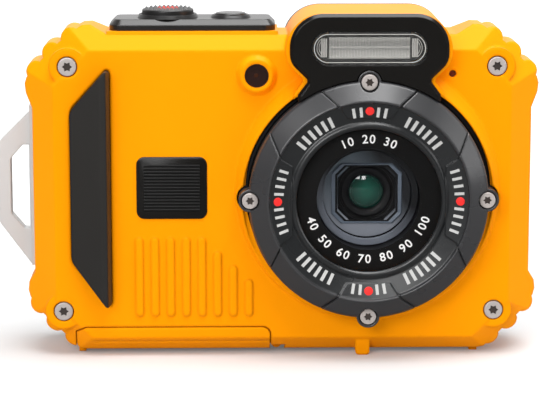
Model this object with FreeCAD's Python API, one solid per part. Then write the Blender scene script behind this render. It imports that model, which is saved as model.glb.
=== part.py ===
import FreeCAD, Part
import math
import os

# Compact waterproof digital camera, in millimetres.
# X runs to the right as seen from the front, Y runs to the rear, Z runs up.
# The origin lies under the middle of the camera, on the surface that it stands on.

# Body
BODY_X = 2.7
BODY_BOTTOM_Z = 1.0
BODY_HALF_WIDTH = 50.15
BODY_HALF_HEIGHT = 32.1
FRONT_Y = -8.2
BELT_FRONT_Y = -3.1
BELT_REAR_Y = 4.0
PART_Y = 9.0
REAR_Y = 14.4
WALL = 1.8
FRONT_INSET_X = 4.45
FRONT_INSET_Z = 2.9
FRONT_CUT = 7.2
BELT_OUTSET_X = 2.45
BELT_OUTSET_Z = 2.3
BELT_CUT = 9.0
REAR_INSET_X = 2.65
REAR_INSET_Z = 2.6
REAR_CUT = 9.0
CAVITY_INSET_X = 3.65
CAVITY_INSET_Z = 3.2
CAVITY_CUT = 13.4

# Scalloped corners, as places relative to the corner of the plain outline
BUMP_RADIUS = 2.1
BUMP_CENTRES = [(-8.0, -0.7), (-4.2, -3.7), (-1.0, -7.4)]
CORNER_PEAK = [(-15.3, 0.0), (-11.8, 1.9), (-10.1, 1.8), (-9.0, 1.1)]
CORNER_STEPS = [(-5.2, -1.8), (-1.5, -5.5), (1.1, -8.6), (1.5, -9.9), (1.3, -11.7), (0.0, -14.7)]
LOWER_CORNER_RISE = 2.1
LOWER_CORNER_END = 15.9
LOWER_CORNER_START = [(-10.2, 0.0), (-8.9, -0.35)]

# Fasteners
SCREW_FROM_SIDE = 7.35
SCREW_FROM_TOP = 6.1
SCREW_FROM_BOTTOM = 8.4
DOOR_SCREW_SHIFT = 1.45
SCREW_HEAD_RADIUS = 1.87
SCREW_HEAD_HEIGHT = 1.25
SCREW_SHANK_RADIUS = 1.0
SCREW_POCKET_DEPTH = 1.3
SCREW_BOSS_RADIUS = 3.7
SCREW_BOSS_DROP = 0.15
SCREW_RIM_SHARE = 0.12
STAR_LOBES = 6
STAR_OUTER_SHARE = 0.56
STAR_INNER_SHARE = 0.36
STAR_DEPTH = 0.8
SHANK_FIT = 0.03
LOOSE_FIT = 0.2
CLOSE_FIT = 0.1
CHASSIS_SCREW_RADIUS = 0.75
CHASSIS_SCREW_HEAD_RADIUS = 1.6
CHASSIS_SCREW_HEAD_HEIGHT = 0.6
CHASSIS_SCREW_GRIP = 5.0

# Seal between the two shells
SEAL_INSET_X = 1.85
SEAL_INSET_Z = 1.4
SEAL_WIDTH = 1.1
SEAL_CUT = 14.0
SEAL_HEIGHT = 1.0

# Lens opening and bezel ring
LENS_X = 19.75
LENS_BELOW_MIDDLE = 0.15
SEAT_Y = -9.4
COLLAR_CREST_RADIUS = 25.3
COLLAR_RISE = 1.9
COLLAR_TILT = 3.4
COLLAR_SLOPE = 0.68
COLLAR_DEPTH = 4.5
BEZEL_RADIUS = 23.9
BEZEL_GAP = 1.15
BEZEL_SHOULDER_Y = -13.0
BEZEL_BAND_RADIUS = 20.2
BEZEL_FRONT_Y = -15.5
CHANNEL_OUTER_RADIUS = 19.7
CHANNEL_OUTER_Y = -14.8
CHANNEL_INNER_RADIUS = 15.9
CHANNEL_INNER_Y = -13.9
LIP_Y = -14.2
LIP_RADIUS = 14.4
LIP_THICKNESS = 0.8
PLATFORM_RISE = 0.4
GROOVE_WIDTH = 0.55
GROOVE_DEPTH = 0.5
PLATFORM_HALF_WIDTHS = [(16.6, 4.4), (19.4, 6.1), (22.2, 9.6)]
SIDE_PLATFORM_HALF_WIDTHS = [(15.2, 7.0), (17.4, 8.4), (19.8, 13.8)]
EAR_PITCH_RADIUS = 23.6
EAR_RADIUS = 2.3
EAR_GAP = 0.35
EAR_WALL = 0.45
EAR_FLOOR_Y = -12.7
EAR_POCKET_RADIUS = 1.85
BEZEL_SCREW_HEAD_RADIUS = 1.6
BEZEL_SCREW_HEAD_HEIGHT = 1.1
BEZEL_SCREW_SHANK_RADIUS = 0.8
BEZEL_SCREW_END_Y = -6.7
TUBE_RADIUS = 16.4
WINDOW_RADIUS = 14.9
WINDOW_THICKNESS = 1.4
LEDGE_RADIUS = 13.0
WINDOW_SEAL_THICKNESS = 0.6
MASK_INNER_RADIUS = 10.3
MASK_THICKNESS = 0.3

# Lens module behind the window
LENS_TUBE_RADIUS = 12.7
LENS_TUBE_BORE = 10.6
LENS_TUBE_FRONT_Y = -10.8
LENS_BASE_HALF = 15.0
LENS_BASE_THICKNESS = 2.0
CAM_RING_RADIUS = 10.4
CAM_RING_BORE = 9.1
CAM_RING_FRONT_Y = -3.8
ZOOM_BARREL_RADIUS = 8.9
ZOOM_BARREL_WALL = 0.9
ZOOM_BARREL_FRONT_Y = -5.0
ZOOM_BARREL_LENGTH = 7.6
ZOOM_FACE_THICKNESS = 0.8
BARREL_MOUTH_WIDTH = 11.7
BARREL_MOUTH_HEIGHT = 11.0
BARREL_MOUTH_CUT = 2.3
INNER_BARREL_RADIUS = 7.6
INNER_BARREL_FRONT_Y = -3.2
INNER_BARREL_LENGTH = 4.4
FRONT_LENS_RADIUS = 5.2
FRONT_LENS_THICKNESS = 2.0
FRONT_LENS_BULGE = 1.1
REAR_LENS_RADIUS = 4.4
REAR_LENS_THICKNESS = 1.4
SENSOR_WIDTH = 9.0
SENSOR_HEIGHT = 7.5
SENSOR_THICKNESS = 1.0
MOTOR_RADIUS = 2.9
MOTOR_LENGTH = 9.6
MOTOR_OFFSET_X = 11.8
MOTOR_OFFSET_Z = 11.3

# Flash hump and fascia
HUMP_RISE = 37.05
HUMP_HALF_WIDTH = 15.7
HUMP_CORNER_RADIUS = 6.6
HUMP_SIDE_RISE = 27.5
HUMP_SIDE_RADIUS = 3.9
HUMP_NECK_HALF_WIDTH = 12.0
HUMP_NECK_RISE = 23.9
HUMP_NECK_RADIUS = 0.8
HUMP_FLARE_HALF_WIDTH = 14.1
HUMP_FLARE_RISE = 21.1
HUMP_SKIRT_RISE = 17.4
HUMP_MARGIN = 0.8
HUMP_REAR_Y = 12.4
HUMP_REAR_BEVEL = 2.2
FASCIA_THICKNESS = 1.3
FASCIA_BEVEL = 0.6
FASCIA_FRONT_Y = -13.5
HUMP_CAVITY_HALF_WIDTH = 13.2
HUMP_ROOF = 2.2
HUMP_FLOOR_RISE = 26.2
FLASH_X = 19.75
FLASH_RISE = 30.32
FLASH_HALF_WIDTH = 11.4
FLASH_HALF_HEIGHT = 3.25
FLASH_RIM = 0.8
FLASH_PANE = 0.9
FLASH_PROUD = 0.1
REFLECTOR_HALF_WIDTH = 8.2
REFLECTOR_LIP = 0.35
REFLECTOR_FLANGE = 0.8
REFLECTOR_DEPTH = 5.2
REFLECTOR_THROAT = 0.8
FLASH_TUBE_RADIUS = 0.9
FLASH_TUBE_HALF_LENGTH = 11.2
FLASH_TUBE_PIN = 1.5
FLASH_TUBE_FROM_BACK = 1.9
CAPACITOR_RADIUS = 4.0
CAPACITOR_X = 43.0
CAPACITOR_FOOT_GAP = 0.1
CAPACITOR_TOP_GAP = 1.3

# Assist lamp and microphone
LAMP_X = -2.45
LAMP_DROP = 7.8
LAMP_HOLE_RADIUS = 2.4
LAMP_BOSS_RADIUS = 4.1
LAMP_BOSS_TOP_RADIUS = 3.2
LAMP_BOSS_HEIGHT = 1.5
LAMP_LENS_THICKNESS = 1.2
LAMP_LENS_SINK = 0.8
LED_RADIUS = 1.5
LED_FLANGE_RADIUS = 2.9
LED_FLANGE_THICKNESS = 0.8
MIC_X = 36.6
MIC_DROP = 7.6
MIC_HOLE_RADIUS = 0.72
MIC_RADIUS = 2.0
MIC_DEPTH = 1.5

# Front grip ribs
RIB_COUNT = 8
RIB_FIRST_X = -26.15
RIB_PITCH = 3.15
RIB_WIDTH = 1.5
RIB_HEIGHT = 0.45
RIB_BOTTOM_RISE = 7.4
RIB_TOP_RISE = 23.6
RIB_SLANT = 0.92
RIB_SLANT_START = 4

# Grip pad
PAD_RIGHT_X = -31.75
PAD_TIP_X = -32.5
PAD_LEFT_X = -39.7
PAD_TOP_DROPS = [7.2, 6.6, 15.0]
PAD_BOTTOM_RISES = [18.9, 9.6, 10.2]
PAD_RADII = [0.5, 0.6, 3.0, 3.0, 0.6, 0.5]
PAD_RIDGE_FROM_EDGE = 0.6
PAD_CREST_WIDTH = 1.2
PAD_CREST_DROP = 0.1
PAD_HEIGHT = 3.4
PAD_EDGE_HEIGHT = 0.8
PAD_SINK = 0.6
PAD_GAP = 0.15
PAD_END_SHARE = 1.6

# Control deck on the top
DECK_LEFT_X = -31.9
DECK_RIGHT_X = 1.36
DECK_FRONT_Y = -4.8
DECK_REAR_Y = 8.6
DECK_RISE = 0.7
PLATE_HEIGHT = 2.2
PLATE_BEVEL = 1.1
PLATE_CORNER_RADIUS = 2.6
PLATE_PEG_RADIUS = 1.0
PLATE_PEG_INSET = 2.6
CONTROL_Y = 1.9
SHUTTER_X = -20.3
SHUTTER_RADIUS = 5.2
SHUTTER_COLLAR_RADIUS = 6.15
SHUTTER_COLLAR_HEIGHT = 0.7
SHUTTER_PROUD = 1.7
SHUTTER_TRAVEL = 0.7
POWER_X = -7.6
POWER_RADIUS = 3.1
POWER_COLLAR_RADIUS = 4.1
POWER_COLLAR_HEIGHT = 0.5
POWER_PROUD = 0.9
POWER_TRAVEL = 0.5
CAP_SINK = 0.3
CAP_ROOM = 0.55
STEM_RADIUS = 1.2
STEM_TIP_DROP = 0.6
SPRING_STRIP = 0.15
SPRING_OUTER_RADIUS = 2.6
SPRING_FINGERS = 3
SPRING_FINGER_LENGTH = 1.3
SPRING_FREE_GAP = 0.05
O_RING_SECTION = 0.5
SWITCH_SIZE = 3.2
SWITCH_HEIGHT = 1.5
SWITCH_GAP = 0.15
BUTTON_BOARD_THICKNESS = 0.8
BUTTON_BOARD_MARGIN = 5.0
BUTTON_BOARD_HALF_DEPTH = 3.0
SWITCH_STUD_RADIUS = 0.8
SWITCH_STUD_HEIGHT = 0.4
BOARD_LEG_INSET = 1.0

# Strap bar
STRAP_Y = 4.4
STRAP_HALF_THICKNESS = 1.5
STRAP_FLANGE_HALF_DEPTH = 2.9
STRAP_FLANGE_THICKNESS = 1.2
STRAP_FLANGE_TOP_GAP = 0.3
STRAP_FLANGE_BOTTOM_GAP = 0.2
STRAP_REACH = 7.75
STRAP_OUTLINE_INSETS = [1.6, 7.8, 8.7, 0.1]
STRAP_SHOULDER = 1.45
STRAP_BAND = 2.45
STRAP_EYE_INSETS = [8.3, 11.2, 10.5, 7.4]
STRAP_EYE_FROM_FLANGE = 0.3
STRAP_EYE_SLANT = 2.6
STRAP_PEG_RADIUS = 1.2
STRAP_PEG_INSET = 4.5
STRAP_SCREW_RADIUS = 0.6
STRAP_SCREW_DEPTH = 3.0
STRAP_SCREW_HEAD_RADIUS = 1.9
STRAP_SCREW_HEAD_HEIGHT = 0.9

# Battery door and battery bay
DOOR_LEFT_X = -39.06
DOOR_RIGHT_X = 0.2
DOOR_LIP_RISE = 4.97
DOOR_REAR_Y = 6.6
DOOR_PLATE = 2.0
DOOR_LIP = 1.0
DOOR_END_STEPS = [(2.1, 2.9), (3.5, 1.7)]
DOOR_GAP = 0.2
DOOR_CORNER_CUT = 2.0
DOOR_CORNER_RADIUS = 1.6
DOOR_EDGE_RADIUS = 0.3
HINGE_X = 1.5
HINGE_RISE = 0.9
HINGE_PIN_RADIUS = 0.5
KNUCKLE_RADIUS = 1.05
KNUCKLE_HALF_LENGTH = 2.2
HINGE_CLEAR_RADIUS = 1.9
HINGE_Y = -0.5
HINGE_ARM_ROOT = 1.0
SHELL_KNUCKLE_LENGTH = 1.4
KNUCKLE_GAP = 0.15
BATTERY_WIDTH = 32.0
BATTERY_DEPTH = 7.4
BATTERY_HEIGHT = 41.0
BATTERY_X = -19.5
BATTERY_Y = -1.2
BATTERY_FOOT_GAP = 0.7
BATTERY_EDGE_RADIUS = 1.0
BOX_WALL = 0.8
BOX_FIT = 0.2
MOUTH_MARGIN = 0.6
MOUTH_REAR_Y = 6.1
PLUG_HEIGHT = 1.2
DOOR_SEAL_WIDTH = 0.4
DOOR_SEAL_HEIGHT = 0.9
LATCH_TRAVEL = 1.1
LATCH_LEFT_X = -38.6
LATCH_LENGTH = 8.0
LATCH_Y = 4.4
LATCH_HALF_WIDTH = 1.2
LATCH_THICKNESS = 1.0
LATCH_GRIP_LENGTH = 3.0
LATCH_GRIP_DROP = 0.5
LATCH_CLEAR = 0.15
DOOR_NUB_X = -38.1
DOOR_NUB_HALF_WIDTH = 0.7
DOOR_NUB_FRONT_Y = -4.0
DOOR_NUB_REAR_Y = 0.0
DOOR_NUB_LIFT = 0.2
CARD_WIDTH = 11.0
CARD_LENGTH = 15.0
CARD_THICKNESS = 0.7
CARD_FROM_LEFT = 10.95
CARD_ROOM = 0.05
CARD_END_WALL = 0.6
SOCKET_FLOOR_GAP = 0.8
CARD_SOCKET_WALL = 0.5
USB_WIDTH = 7.6
USB_DEPTH = 2.5
USB_HEIGHT = 5.4
USB_WALL = 0.35
USB_FROM_RIGHT = 6.15
USB_TONGUE = 0.6

# Feet and tripod socket
FOOT_X = 19.0
FOOT_HALF_WIDTH = 1.45
FOOT_WEB_RISE = 2.8
FOOT_FRONT_Y = -7.6
FOOT_REAR_Y = -1.0
RUNNER_RIGHT_X = 41.9
RUNNER_LEFT_X = -38.1
RUNNER_HALF_WIDTH = 0.8
RUNNER_FRONT_Y = -3.5
RUNNER_REAR_Y = 8.8
FOOT_ROOT = 0.6
TRIPOD_X = 30.0
TRIPOD_Y = 0.6
TRIPOD_HOLE_RADIUS = 3.175
TRIPOD_HOLE_DEPTH = 4.8
TRIPOD_INSERT_RADIUS = 4.6
TRIPOD_INSERT_CAP = 0.8
TRIPOD_BOSS_WALL = 1.3

# Chassis and boards
CHASSIS_Y = 6.6
CHASSIS_THICKNESS = 1.0
CHASSIS_MARGIN = 0.6
POST_RADIUS = 1.9
POST_INSET_X = 7.55
POST_INSET_Z = 16.0
STANDOFF = 0.8
BOARD_THICKNESS = 0.9
MAIN_BOARD_LEFT_X = -9.0
MAIN_BOARD_RIGHT_X = 40.0
MAIN_BOARD_FOOT_RISE = 12.0
MAIN_BOARD_TOP_DROP = 12.2
CHIP_HEIGHT = 0.7
CHIPS = [(8.0, 0.9, 12.0, 12.0), (26.0, 6.9, 9.0, 11.0), (27.0, -9.1, 7.0, 7.0)]
STANDOFF_RADIUS = 1.2
STANDOFF_INSET = 2.0
SENSOR_WINDOW_HALF_WIDTH = 3.0
SENSOR_WINDOW_HALF_HEIGHT = 2.5

# Rear side
SCREEN_LEFT_X = -11.5
SCREEN_RIGHT_X = 42.5
SCREEN_INSET_Z = 11.6
SCREEN_CORNER_RADIUS = 1.5
SCREEN_GLASS = 1.2
SCREEN_LEDGE = 1.5
SCREEN_SINK = 0.1
SCREEN_MODULE_THICKNESS = 1.9
KEY_COLUMN_X = -28.5
KEY_GAP = 0.15
KEY_PROUD = 0.8
KEY_FLANGE = 0.5
KEY_FLANGE_THICKNESS = 0.45
ROUND_KEY_RADIUS = 2.7
OK_RADIUS = 3.0
NAV_OUTER_RADIUS = 8.6
NAV_INNER_RADIUS = 4.6
NAV_BELOW_MIDDLE = 0.1
GIMBAL_RADIUS = 4.3
GIMBAL_WALL = 0.6
LOWER_KEYS_RISE = 13.5
LOWER_KEY_SPREAD = 7.2
RECORD_X = -18.0
UPPER_KEYS_DROP = 11.2
RECORD_RADIUS = 3.2
ROCKER_X = -32.3
ROCKER_HALF_WIDTH = 7.0
ROCKER_HALF_HEIGHT = 3.0
ROCKER_PROUD = 1.5
ROCKER_GAP = 0.35
ROCKER_BEVEL = 0.4
ROCKER_DIP_RADIUS = 6.0
ROCKER_DIP_DEPTH = 0.6
ROCKER_POST_RADIUS = 0.5
KEY_BOARD_Y = 10.2
KEY_BOARD_THICKNESS = 0.8
KEY_BOARD_BELOW = 4.5
KEY_BOARD_ABOVE = 4.0
KEY_POST_OFFSET = 6.5
KEY_POST_INSET_LEFT = 1.5
KEY_POST_INSET_RIGHT = 2.5
KEY_POST_RADIUS = 1.0
DOME_RADIUS = 1.5
DOME_HEIGHT = 0.4
INDICATOR_RADIUS = 0.8
INDICATOR_X = -12.9
SPEAKER_RADIUS = 2.6
SPEAKER_X = 20.0
SPEAKER_RISE = 6.6
SPEAKER_THICKNESS = 1.6
SPEAKER_HOLES = 5
SPEAKER_HOLE_RADIUS = 0.35
SPEAKER_HOLE_PITCH = 1.0

# Derived planes
LEFT_X = BODY_X - BODY_HALF_WIDTH
BOTTOM_Z = BODY_BOTTOM_Z
BODY_Z = BOTTOM_Z + BODY_HALF_HEIGHT
TOP_Z = BODY_Z + BODY_HALF_HEIGHT
STRAP_TOP_Z = TOP_Z + CORNER_STEPS[-1][1] - STRAP_FLANGE_TOP_GAP
STRAP_BOTTOM_Z = BOTTOM_Z + LOWER_CORNER_END + STRAP_FLANGE_BOTTOM_GAP
INNER_FRONT_Y = FRONT_Y + WALL
INNER_REAR_Y = REAR_Y - WALL
FLOOR_Z = BOTTOM_Z + CAVITY_INSET_Z
CEILING_Z = TOP_Z - CAVITY_INSET_Z
LENS_Z = BODY_Z - LENS_BELOW_MIDDLE
HUMP_TOP_Z = LENS_Z + HUMP_RISE
HUMP_SIDE_END_Z = LENS_Z + HUMP_SIDE_RISE
HUMP_NECK_Z = LENS_Z + HUMP_NECK_RISE
HUMP_FLARE_Z = LENS_Z + HUMP_FLARE_RISE
HUMP_SKIRT_Z = LENS_Z + HUMP_SKIRT_RISE
HUMP_FLOOR_Z = LENS_Z + HUMP_FLOOR_RISE
FLASH_Z = LENS_Z + FLASH_RISE
LAMP_Z = TOP_Z - LAMP_DROP
MIC_Z = TOP_Z - MIC_DROP
DOOR_TOP_Z = BOTTOM_Z + DOOR_LIP_RISE
HINGE_Z = BOTTOM_Z + HINGE_RISE
BATTERY_BOTTOM_Z = FLOOR_Z + BATTERY_FOOT_GAP
CARD_X = BATTERY_X - BATTERY_WIDTH / 2 + CARD_FROM_LEFT
USB_X = BATTERY_X + BATTERY_WIDTH / 2 - USB_FROM_RIGHT
MAIN_BOARD_BOTTOM_Z = BOTTOM_Z + MAIN_BOARD_FOOT_RISE
MAIN_BOARD_TOP_Z = TOP_Z - MAIN_BOARD_TOP_DROP
SCREEN_BOTTOM_Z = BOTTOM_Z + SCREEN_INSET_Z
SCREEN_TOP_Z = TOP_Z - SCREEN_INSET_Z
NAV_Z = BODY_Z - NAV_BELOW_MIDDLE
LOWER_KEYS_Z = BOTTOM_Z + LOWER_KEYS_RISE
UPPER_KEYS_Z = TOP_Z - UPPER_KEYS_DROP
SPEAKER_Z = BOTTOM_Z + SPEAKER_RISE
GROUND_Z = 0.0
FAR = 100.0
EPS = 0.01

NODES = {}


def vec(x, y, z):
    return FreeCAD.Vector(x, y, z)


def box(x0, x1, y0, y1, z0, z1):
    return Part.makeBox(x1 - x0, y1 - y0, z1 - z0, vec(x0, y0, z0))


def rod_x(y, z, radius, x0, x1):
    return Part.makeCylinder(radius, x1 - x0, vec(x0, y, z), vec(1, 0, 0))


def rod_y(x, z, radius, y0, y1):
    return Part.makeCylinder(radius, y1 - y0, vec(x, y0, z), vec(0, 1, 0))


def rod_z(x, y, radius, z0, z1):
    return Part.makeCylinder(radius, z1 - z0, vec(x, y, z0), vec(0, 0, 1))


def ring_y(x, z, outer, inner, y0, y1):
    return rod_y(x, z, outer, y0, y1).cut(rod_y(x, z, inner, y0 - 1, y1 + 1))


def ring_z(x, y, outer, inner, z0, z1):
    return rod_z(x, y, outer, z0, z1).cut(rod_z(x, y, inner, z0 - 1, z1 + 1))


def rounded_outline(points, radii):
    """Closed list of edges in the XZ plane at Y = 0, with an arc at each corner that has a radius."""
    count = len(points)
    edges = []
    corners = []
    for i in range(count):
        here = vec(points[i][0], 0, points[i][1])
        before = vec(points[i - 1][0], 0, points[i - 1][1])
        after = vec(points[(i + 1) % count][0], 0, points[(i + 1) % count][1])
        to_before = (before - here).normalize()
        to_after = (after - here).normalize()
        half = to_before.getAngle(to_after) / 2
        radius = radii[i]
        if radius <= 0:
            corners.append((here, None, here))
            continue
        reach = radius / math.tan(half)
        middle = (to_before + to_after).normalize()
        centre = here + middle * (radius / math.sin(half))
        corners.append((here + to_before * reach, centre - middle * radius, here + to_after * reach))
    for i in range(count):
        start, middle, end = corners[i]
        if middle is not None:
            edges.append(Part.Arc(start, middle, end).toShape())
        edges.append(Part.LineSegment(end, corners[(i + 1) % count][0]).toShape())
    return Part.Wire(edges)


def plate_xz(points, radii, y0, y1):
    """Flat plate with a rounded XZ outline."""
    wire = rounded_outline(points, radii)
    wire.translate(vec(0, y0, 0))
    return Part.Face(wire).extrude(vec(0, y1 - y0, 0))


def rounded_rect(x0, x1, z0, z1, radius, y0, y1):
    points = [(x0, z0), (x1, z0), (x1, z1), (x0, z1)]
    return plate_xz(points, [radius] * 4, y0, y1)


def revolve_y(profile, x, z):
    """Solid turned about the Y axis through (x, z), from (radius, y) points."""
    points = [vec(x + r, y, z) for r, y in profile]
    face = Part.Face(Part.makePolygon(points + [points[0]]))
    return face.revolve(vec(x, 0, z), vec(0, 1, 0), 360)


def octagon(half_width, half_height, cut, y):
    """Wire of an eight-sided outline about the body's middle."""
    quarter = [(half_width, half_height - cut), (half_width - cut, half_height)]
    points = list(quarter)
    points += [(-x, z) for x, z in reversed(quarter)]
    points += [(-x, -z) for x, z in quarter]
    points += [(x, -z) for x, z in reversed(quarter)]
    placed = [vec(BODY_X + x, y, BODY_Z + z) for x, z in points]
    return Part.makePolygon(placed + [placed[0]])


def octagon_block(half_width, half_height, cut, y0, y1):
    return Part.Face(octagon(half_width, half_height, cut, y0)).extrude(vec(0, y1 - y0, 0))


def save(name, *solids):
    NODES[name] = list(solids)


def screw_y(x, z, head_radius, head_y, seat_y, shank_radius, end_y):
    """Screw that points to the rear, with a six-lobed socket in its head."""
    head = rod_y(x, z, head_radius, head_y, seat_y)
    rim = head_radius * SCREW_RIM_SHARE
    top_edge = [e for e in head.Edges if len(e.Vertexes) == 1 and abs(e.Vertexes[0].Y - head_y) < EPS]
    head = head.makeFillet(rim, top_edge)
    points = []
    for i in range(2 * STAR_LOBES):
        reach = head_radius * (STAR_OUTER_SHARE if i % 2 == 0 else STAR_INNER_SHARE)
        angle = math.pi / STAR_LOBES * i
        points.append((x + reach * math.cos(angle), z + reach * math.sin(angle)))
    head = head.cut(plate_xz(points, [0] * len(points), head_y - 1, head_y + STAR_DEPTH))
    return head.fuse(rod_y(x, z, shank_radius, seat_y, end_y)).removeSplitter()


def corner_outline():
    """Solid of the scalloped outline, running through the whole depth."""
    half_w = BODY_HALF_WIDTH
    half_h = BODY_HALF_HEIGHT
    upper = [(half_w + x, half_h + z) for x, z in CORNER_PEAK + CORNER_STEPS]
    lower = [(half_w + x, half_h + z) for x, z in LOWER_CORNER_START]
    lower += [(half_w + x, half_h + z - LOWER_CORNER_RISE) for x, z in CORNER_STEPS[:-1]]
    lower.append((half_w, half_h - LOWER_CORNER_END))
    points = [(-x, z) for x, z in reversed(upper)]
    points += upper
    points += [(x, -z) for x, z in reversed(lower)]
    points += [(-x, -z) for x, z in lower]
    placed = [(BODY_X + x, BODY_Z + z) for x, z in points]
    solid = plate_xz(placed, [0] * len(placed), FRONT_Y - 1, REAR_Y + 1)
    bumps = []
    for x, z in BUMP_CENTRES:
        for side in (-1, 1):
            bump_x = BODY_X + side * (half_w + x)
            bumps.append(rod_y(bump_x, BODY_Z + half_h + z, BUMP_RADIUS, FRONT_Y - 1, REAR_Y + 1))
            lower_z = BODY_Z - (half_h + z - LOWER_CORNER_RISE)
            bumps.append(rod_y(bump_x, lower_z, BUMP_RADIUS, FRONT_Y - 1, REAR_Y + 1))
    return solid.multiFuse(bumps).removeSplitter()


def body_envelope():
    """Outer form of both shells together, with bevelled front and rear."""
    wires = [
        octagon(BODY_HALF_WIDTH - FRONT_INSET_X, BODY_HALF_HEIGHT - FRONT_INSET_Z, FRONT_CUT, FRONT_Y),
        octagon(BODY_HALF_WIDTH + BELT_OUTSET_X, BODY_HALF_HEIGHT + BELT_OUTSET_Z, BELT_CUT, BELT_FRONT_Y),
        octagon(BODY_HALF_WIDTH + BELT_OUTSET_X, BODY_HALF_HEIGHT + BELT_OUTSET_Z, BELT_CUT, BELT_REAR_Y),
        octagon(BODY_HALF_WIDTH - REAR_INSET_X, BODY_HALF_HEIGHT - REAR_INSET_Z, REAR_CUT, REAR_Y),
    ]
    return Part.makeLoft(wires, True, True).common(corner_outline())


def body_cavity():
    half_w = BODY_HALF_WIDTH - CAVITY_INSET_X
    half_h = BODY_HALF_HEIGHT - CAVITY_INSET_Z
    return octagon_block(half_w, half_h, CAVITY_CUT, INNER_FRONT_Y, INNER_REAR_Y)


def corner_screw_places():
    left = LEFT_X + SCREW_FROM_SIDE
    right = BODY_X + BODY_HALF_WIDTH - SCREW_FROM_SIDE
    top = TOP_Z - SCREW_FROM_TOP
    bottom = BOTTOM_Z + SCREW_FROM_BOTTOM
    return [(left - DOOR_SCREW_SHIFT, bottom), (left, top), (right, bottom), (right, top)]


def chassis_post_places():
    places = []
    for side in (-1, 1):
        for end in (-1, 1):
            x = BODY_X + side * (BODY_HALF_WIDTH - POST_INSET_X)
            places.append((x, BODY_Z + end * (BODY_HALF_HEIGHT - POST_INSET_Z)))
    return places


def ear_places():
    directions = [(1, 0), (0, 1), (-1, 0), (0, -1)]
    return [(LENS_X + EAR_PITCH_RADIUS * dx, LENS_Z + EAR_PITCH_RADIUS * dz) for dx, dz in directions]


def hump_plate(margin, y0, y1):
    """Plate with the outline of the flash hump and its neck above the lens."""
    half = HUMP_HALF_WIDTH + margin
    neck = HUMP_NECK_HALF_WIDTH + margin
    flare = HUMP_FLARE_HALF_WIDTH + margin
    right = [
        (flare, HUMP_SKIRT_Z), (flare, HUMP_FLARE_Z), (neck, HUMP_NECK_Z), (half, HUMP_SIDE_END_Z),
        (half, HUMP_TOP_Z),
    ]
    points = [(LENS_X + x, z) for x, z in right] + [(LENS_X - x, z) for x, z in reversed(right)]
    corner = HUMP_CORNER_RADIUS + margin
    side = HUMP_SIDE_RADIUS + margin
    radii = [0, 0, HUMP_NECK_RADIUS, side, corner]
    return plate_xz(points, radii + radii[::-1], y0, y1)


def flash_stadium(shrink, y0, y1):
    half_w = FLASH_HALF_WIDTH - shrink
    half_h = FLASH_HALF_HEIGHT - shrink
    x0 = FLASH_X - half_w
    x1 = FLASH_X + half_w
    return rounded_rect(x0, x1, FLASH_Z - half_h, FLASH_Z + half_h, half_h - EPS, y0, y1)


def hump_block():
    """Raised hump of the shells, with a bevelled rear edge."""
    fascia_back = FASCIA_FRONT_Y + FASCIA_THICKNESS
    front = hump_plate(HUMP_MARGIN, fascia_back, FRONT_Y + EPS)
    long_plate = hump_plate(HUMP_MARGIN, fascia_back, HUMP_REAR_Y)
    above = box(LENS_X - FAR, LENS_X + FAR, fascia_back, HUMP_REAR_Y, HUMP_SIDE_END_Z, FAR)
    wedge_points = [
        vec(LENS_X - FAR, HUMP_REAR_Y + EPS, HUMP_TOP_Z - 2 * HUMP_REAR_BEVEL),
        vec(LENS_X - FAR, HUMP_REAR_Y + EPS, HUMP_TOP_Z + 1),
        vec(LENS_X - FAR, HUMP_REAR_Y - HUMP_REAR_BEVEL, HUMP_TOP_Z + 1),
        vec(LENS_X - FAR, HUMP_REAR_Y - HUMP_REAR_BEVEL, HUMP_TOP_Z + EPS),
    ]
    wedge = Part.Face(Part.makePolygon(wedge_points + [wedge_points[0]])).extrude(vec(2 * FAR, 0, 0))
    return front.fuse(long_plate.common(above).cut(wedge)).removeSplitter()


def door_solid(grow):
    """Battery door with its front lip; a positive growth makes the recess that it lies in."""
    x0 = DOOR_LEFT_X - grow
    x1 = DOOR_RIGHT_X + grow
    rear = DOOR_REAR_Y + grow
    top = DOOR_TOP_Z + grow
    plate = box(x0, x1, FRONT_Y - 1, rear, BOTTOM_Z - 1, BOTTOM_Z + DOOR_PLATE + grow)
    points = [
        (x0, BOTTOM_Z - 1), (x1, BOTTOM_Z - 1), (x1, top),
        (x0 + DOOR_CORNER_CUT, top), (x0, top - DOOR_CORNER_CUT / 2),
    ]
    radii = [0, 0, DOOR_CORNER_RADIUS, DOOR_EDGE_RADIUS, DOOR_EDGE_RADIUS]
    solid = plate.fuse(plate_xz(points, radii, FRONT_Y - 1, FRONT_Y + DOOR_LIP + grow))
    for length, depth in DOOR_END_STEPS:
        deep = plate_xz(points, radii, FRONT_Y - 1, FRONT_Y + depth + grow)
        solid = solid.fuse(deep.common(box(-FAR, DOOR_LEFT_X + length + grow, -FAR, FAR, -FAR, FAR)))
    return solid.removeSplitter()


def mouth_sides():
    """Left, right, front and rear sides of the battery bay's mouth."""
    half = BATTERY_WIDTH / 2 + MOUTH_MARGIN
    front = BATTERY_Y - BATTERY_DEPTH / 2 - MOUTH_MARGIN
    return BATTERY_X - half, BATTERY_X + half, front, MOUTH_REAR_Y


def door_swing_notch():
    """Room under the hinge line for the door's lower right edge as it swings."""
    reach = math.hypot(HINGE_X - DOOR_RIGHT_X, HINGE_RISE) + DOOR_GAP
    notch = rod_y(HINGE_X, HINGE_Z, reach, FRONT_Y - 1, DOOR_REAR_Y + DOOR_GAP)
    return notch.common(box(-FAR, FAR, -FAR, FAR, -FAR, HINGE_Z))


def strap_peg_heights():
    return STRAP_BOTTOM_Z + STRAP_PEG_INSET, STRAP_TOP_Z - STRAP_PEG_INSET


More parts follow.
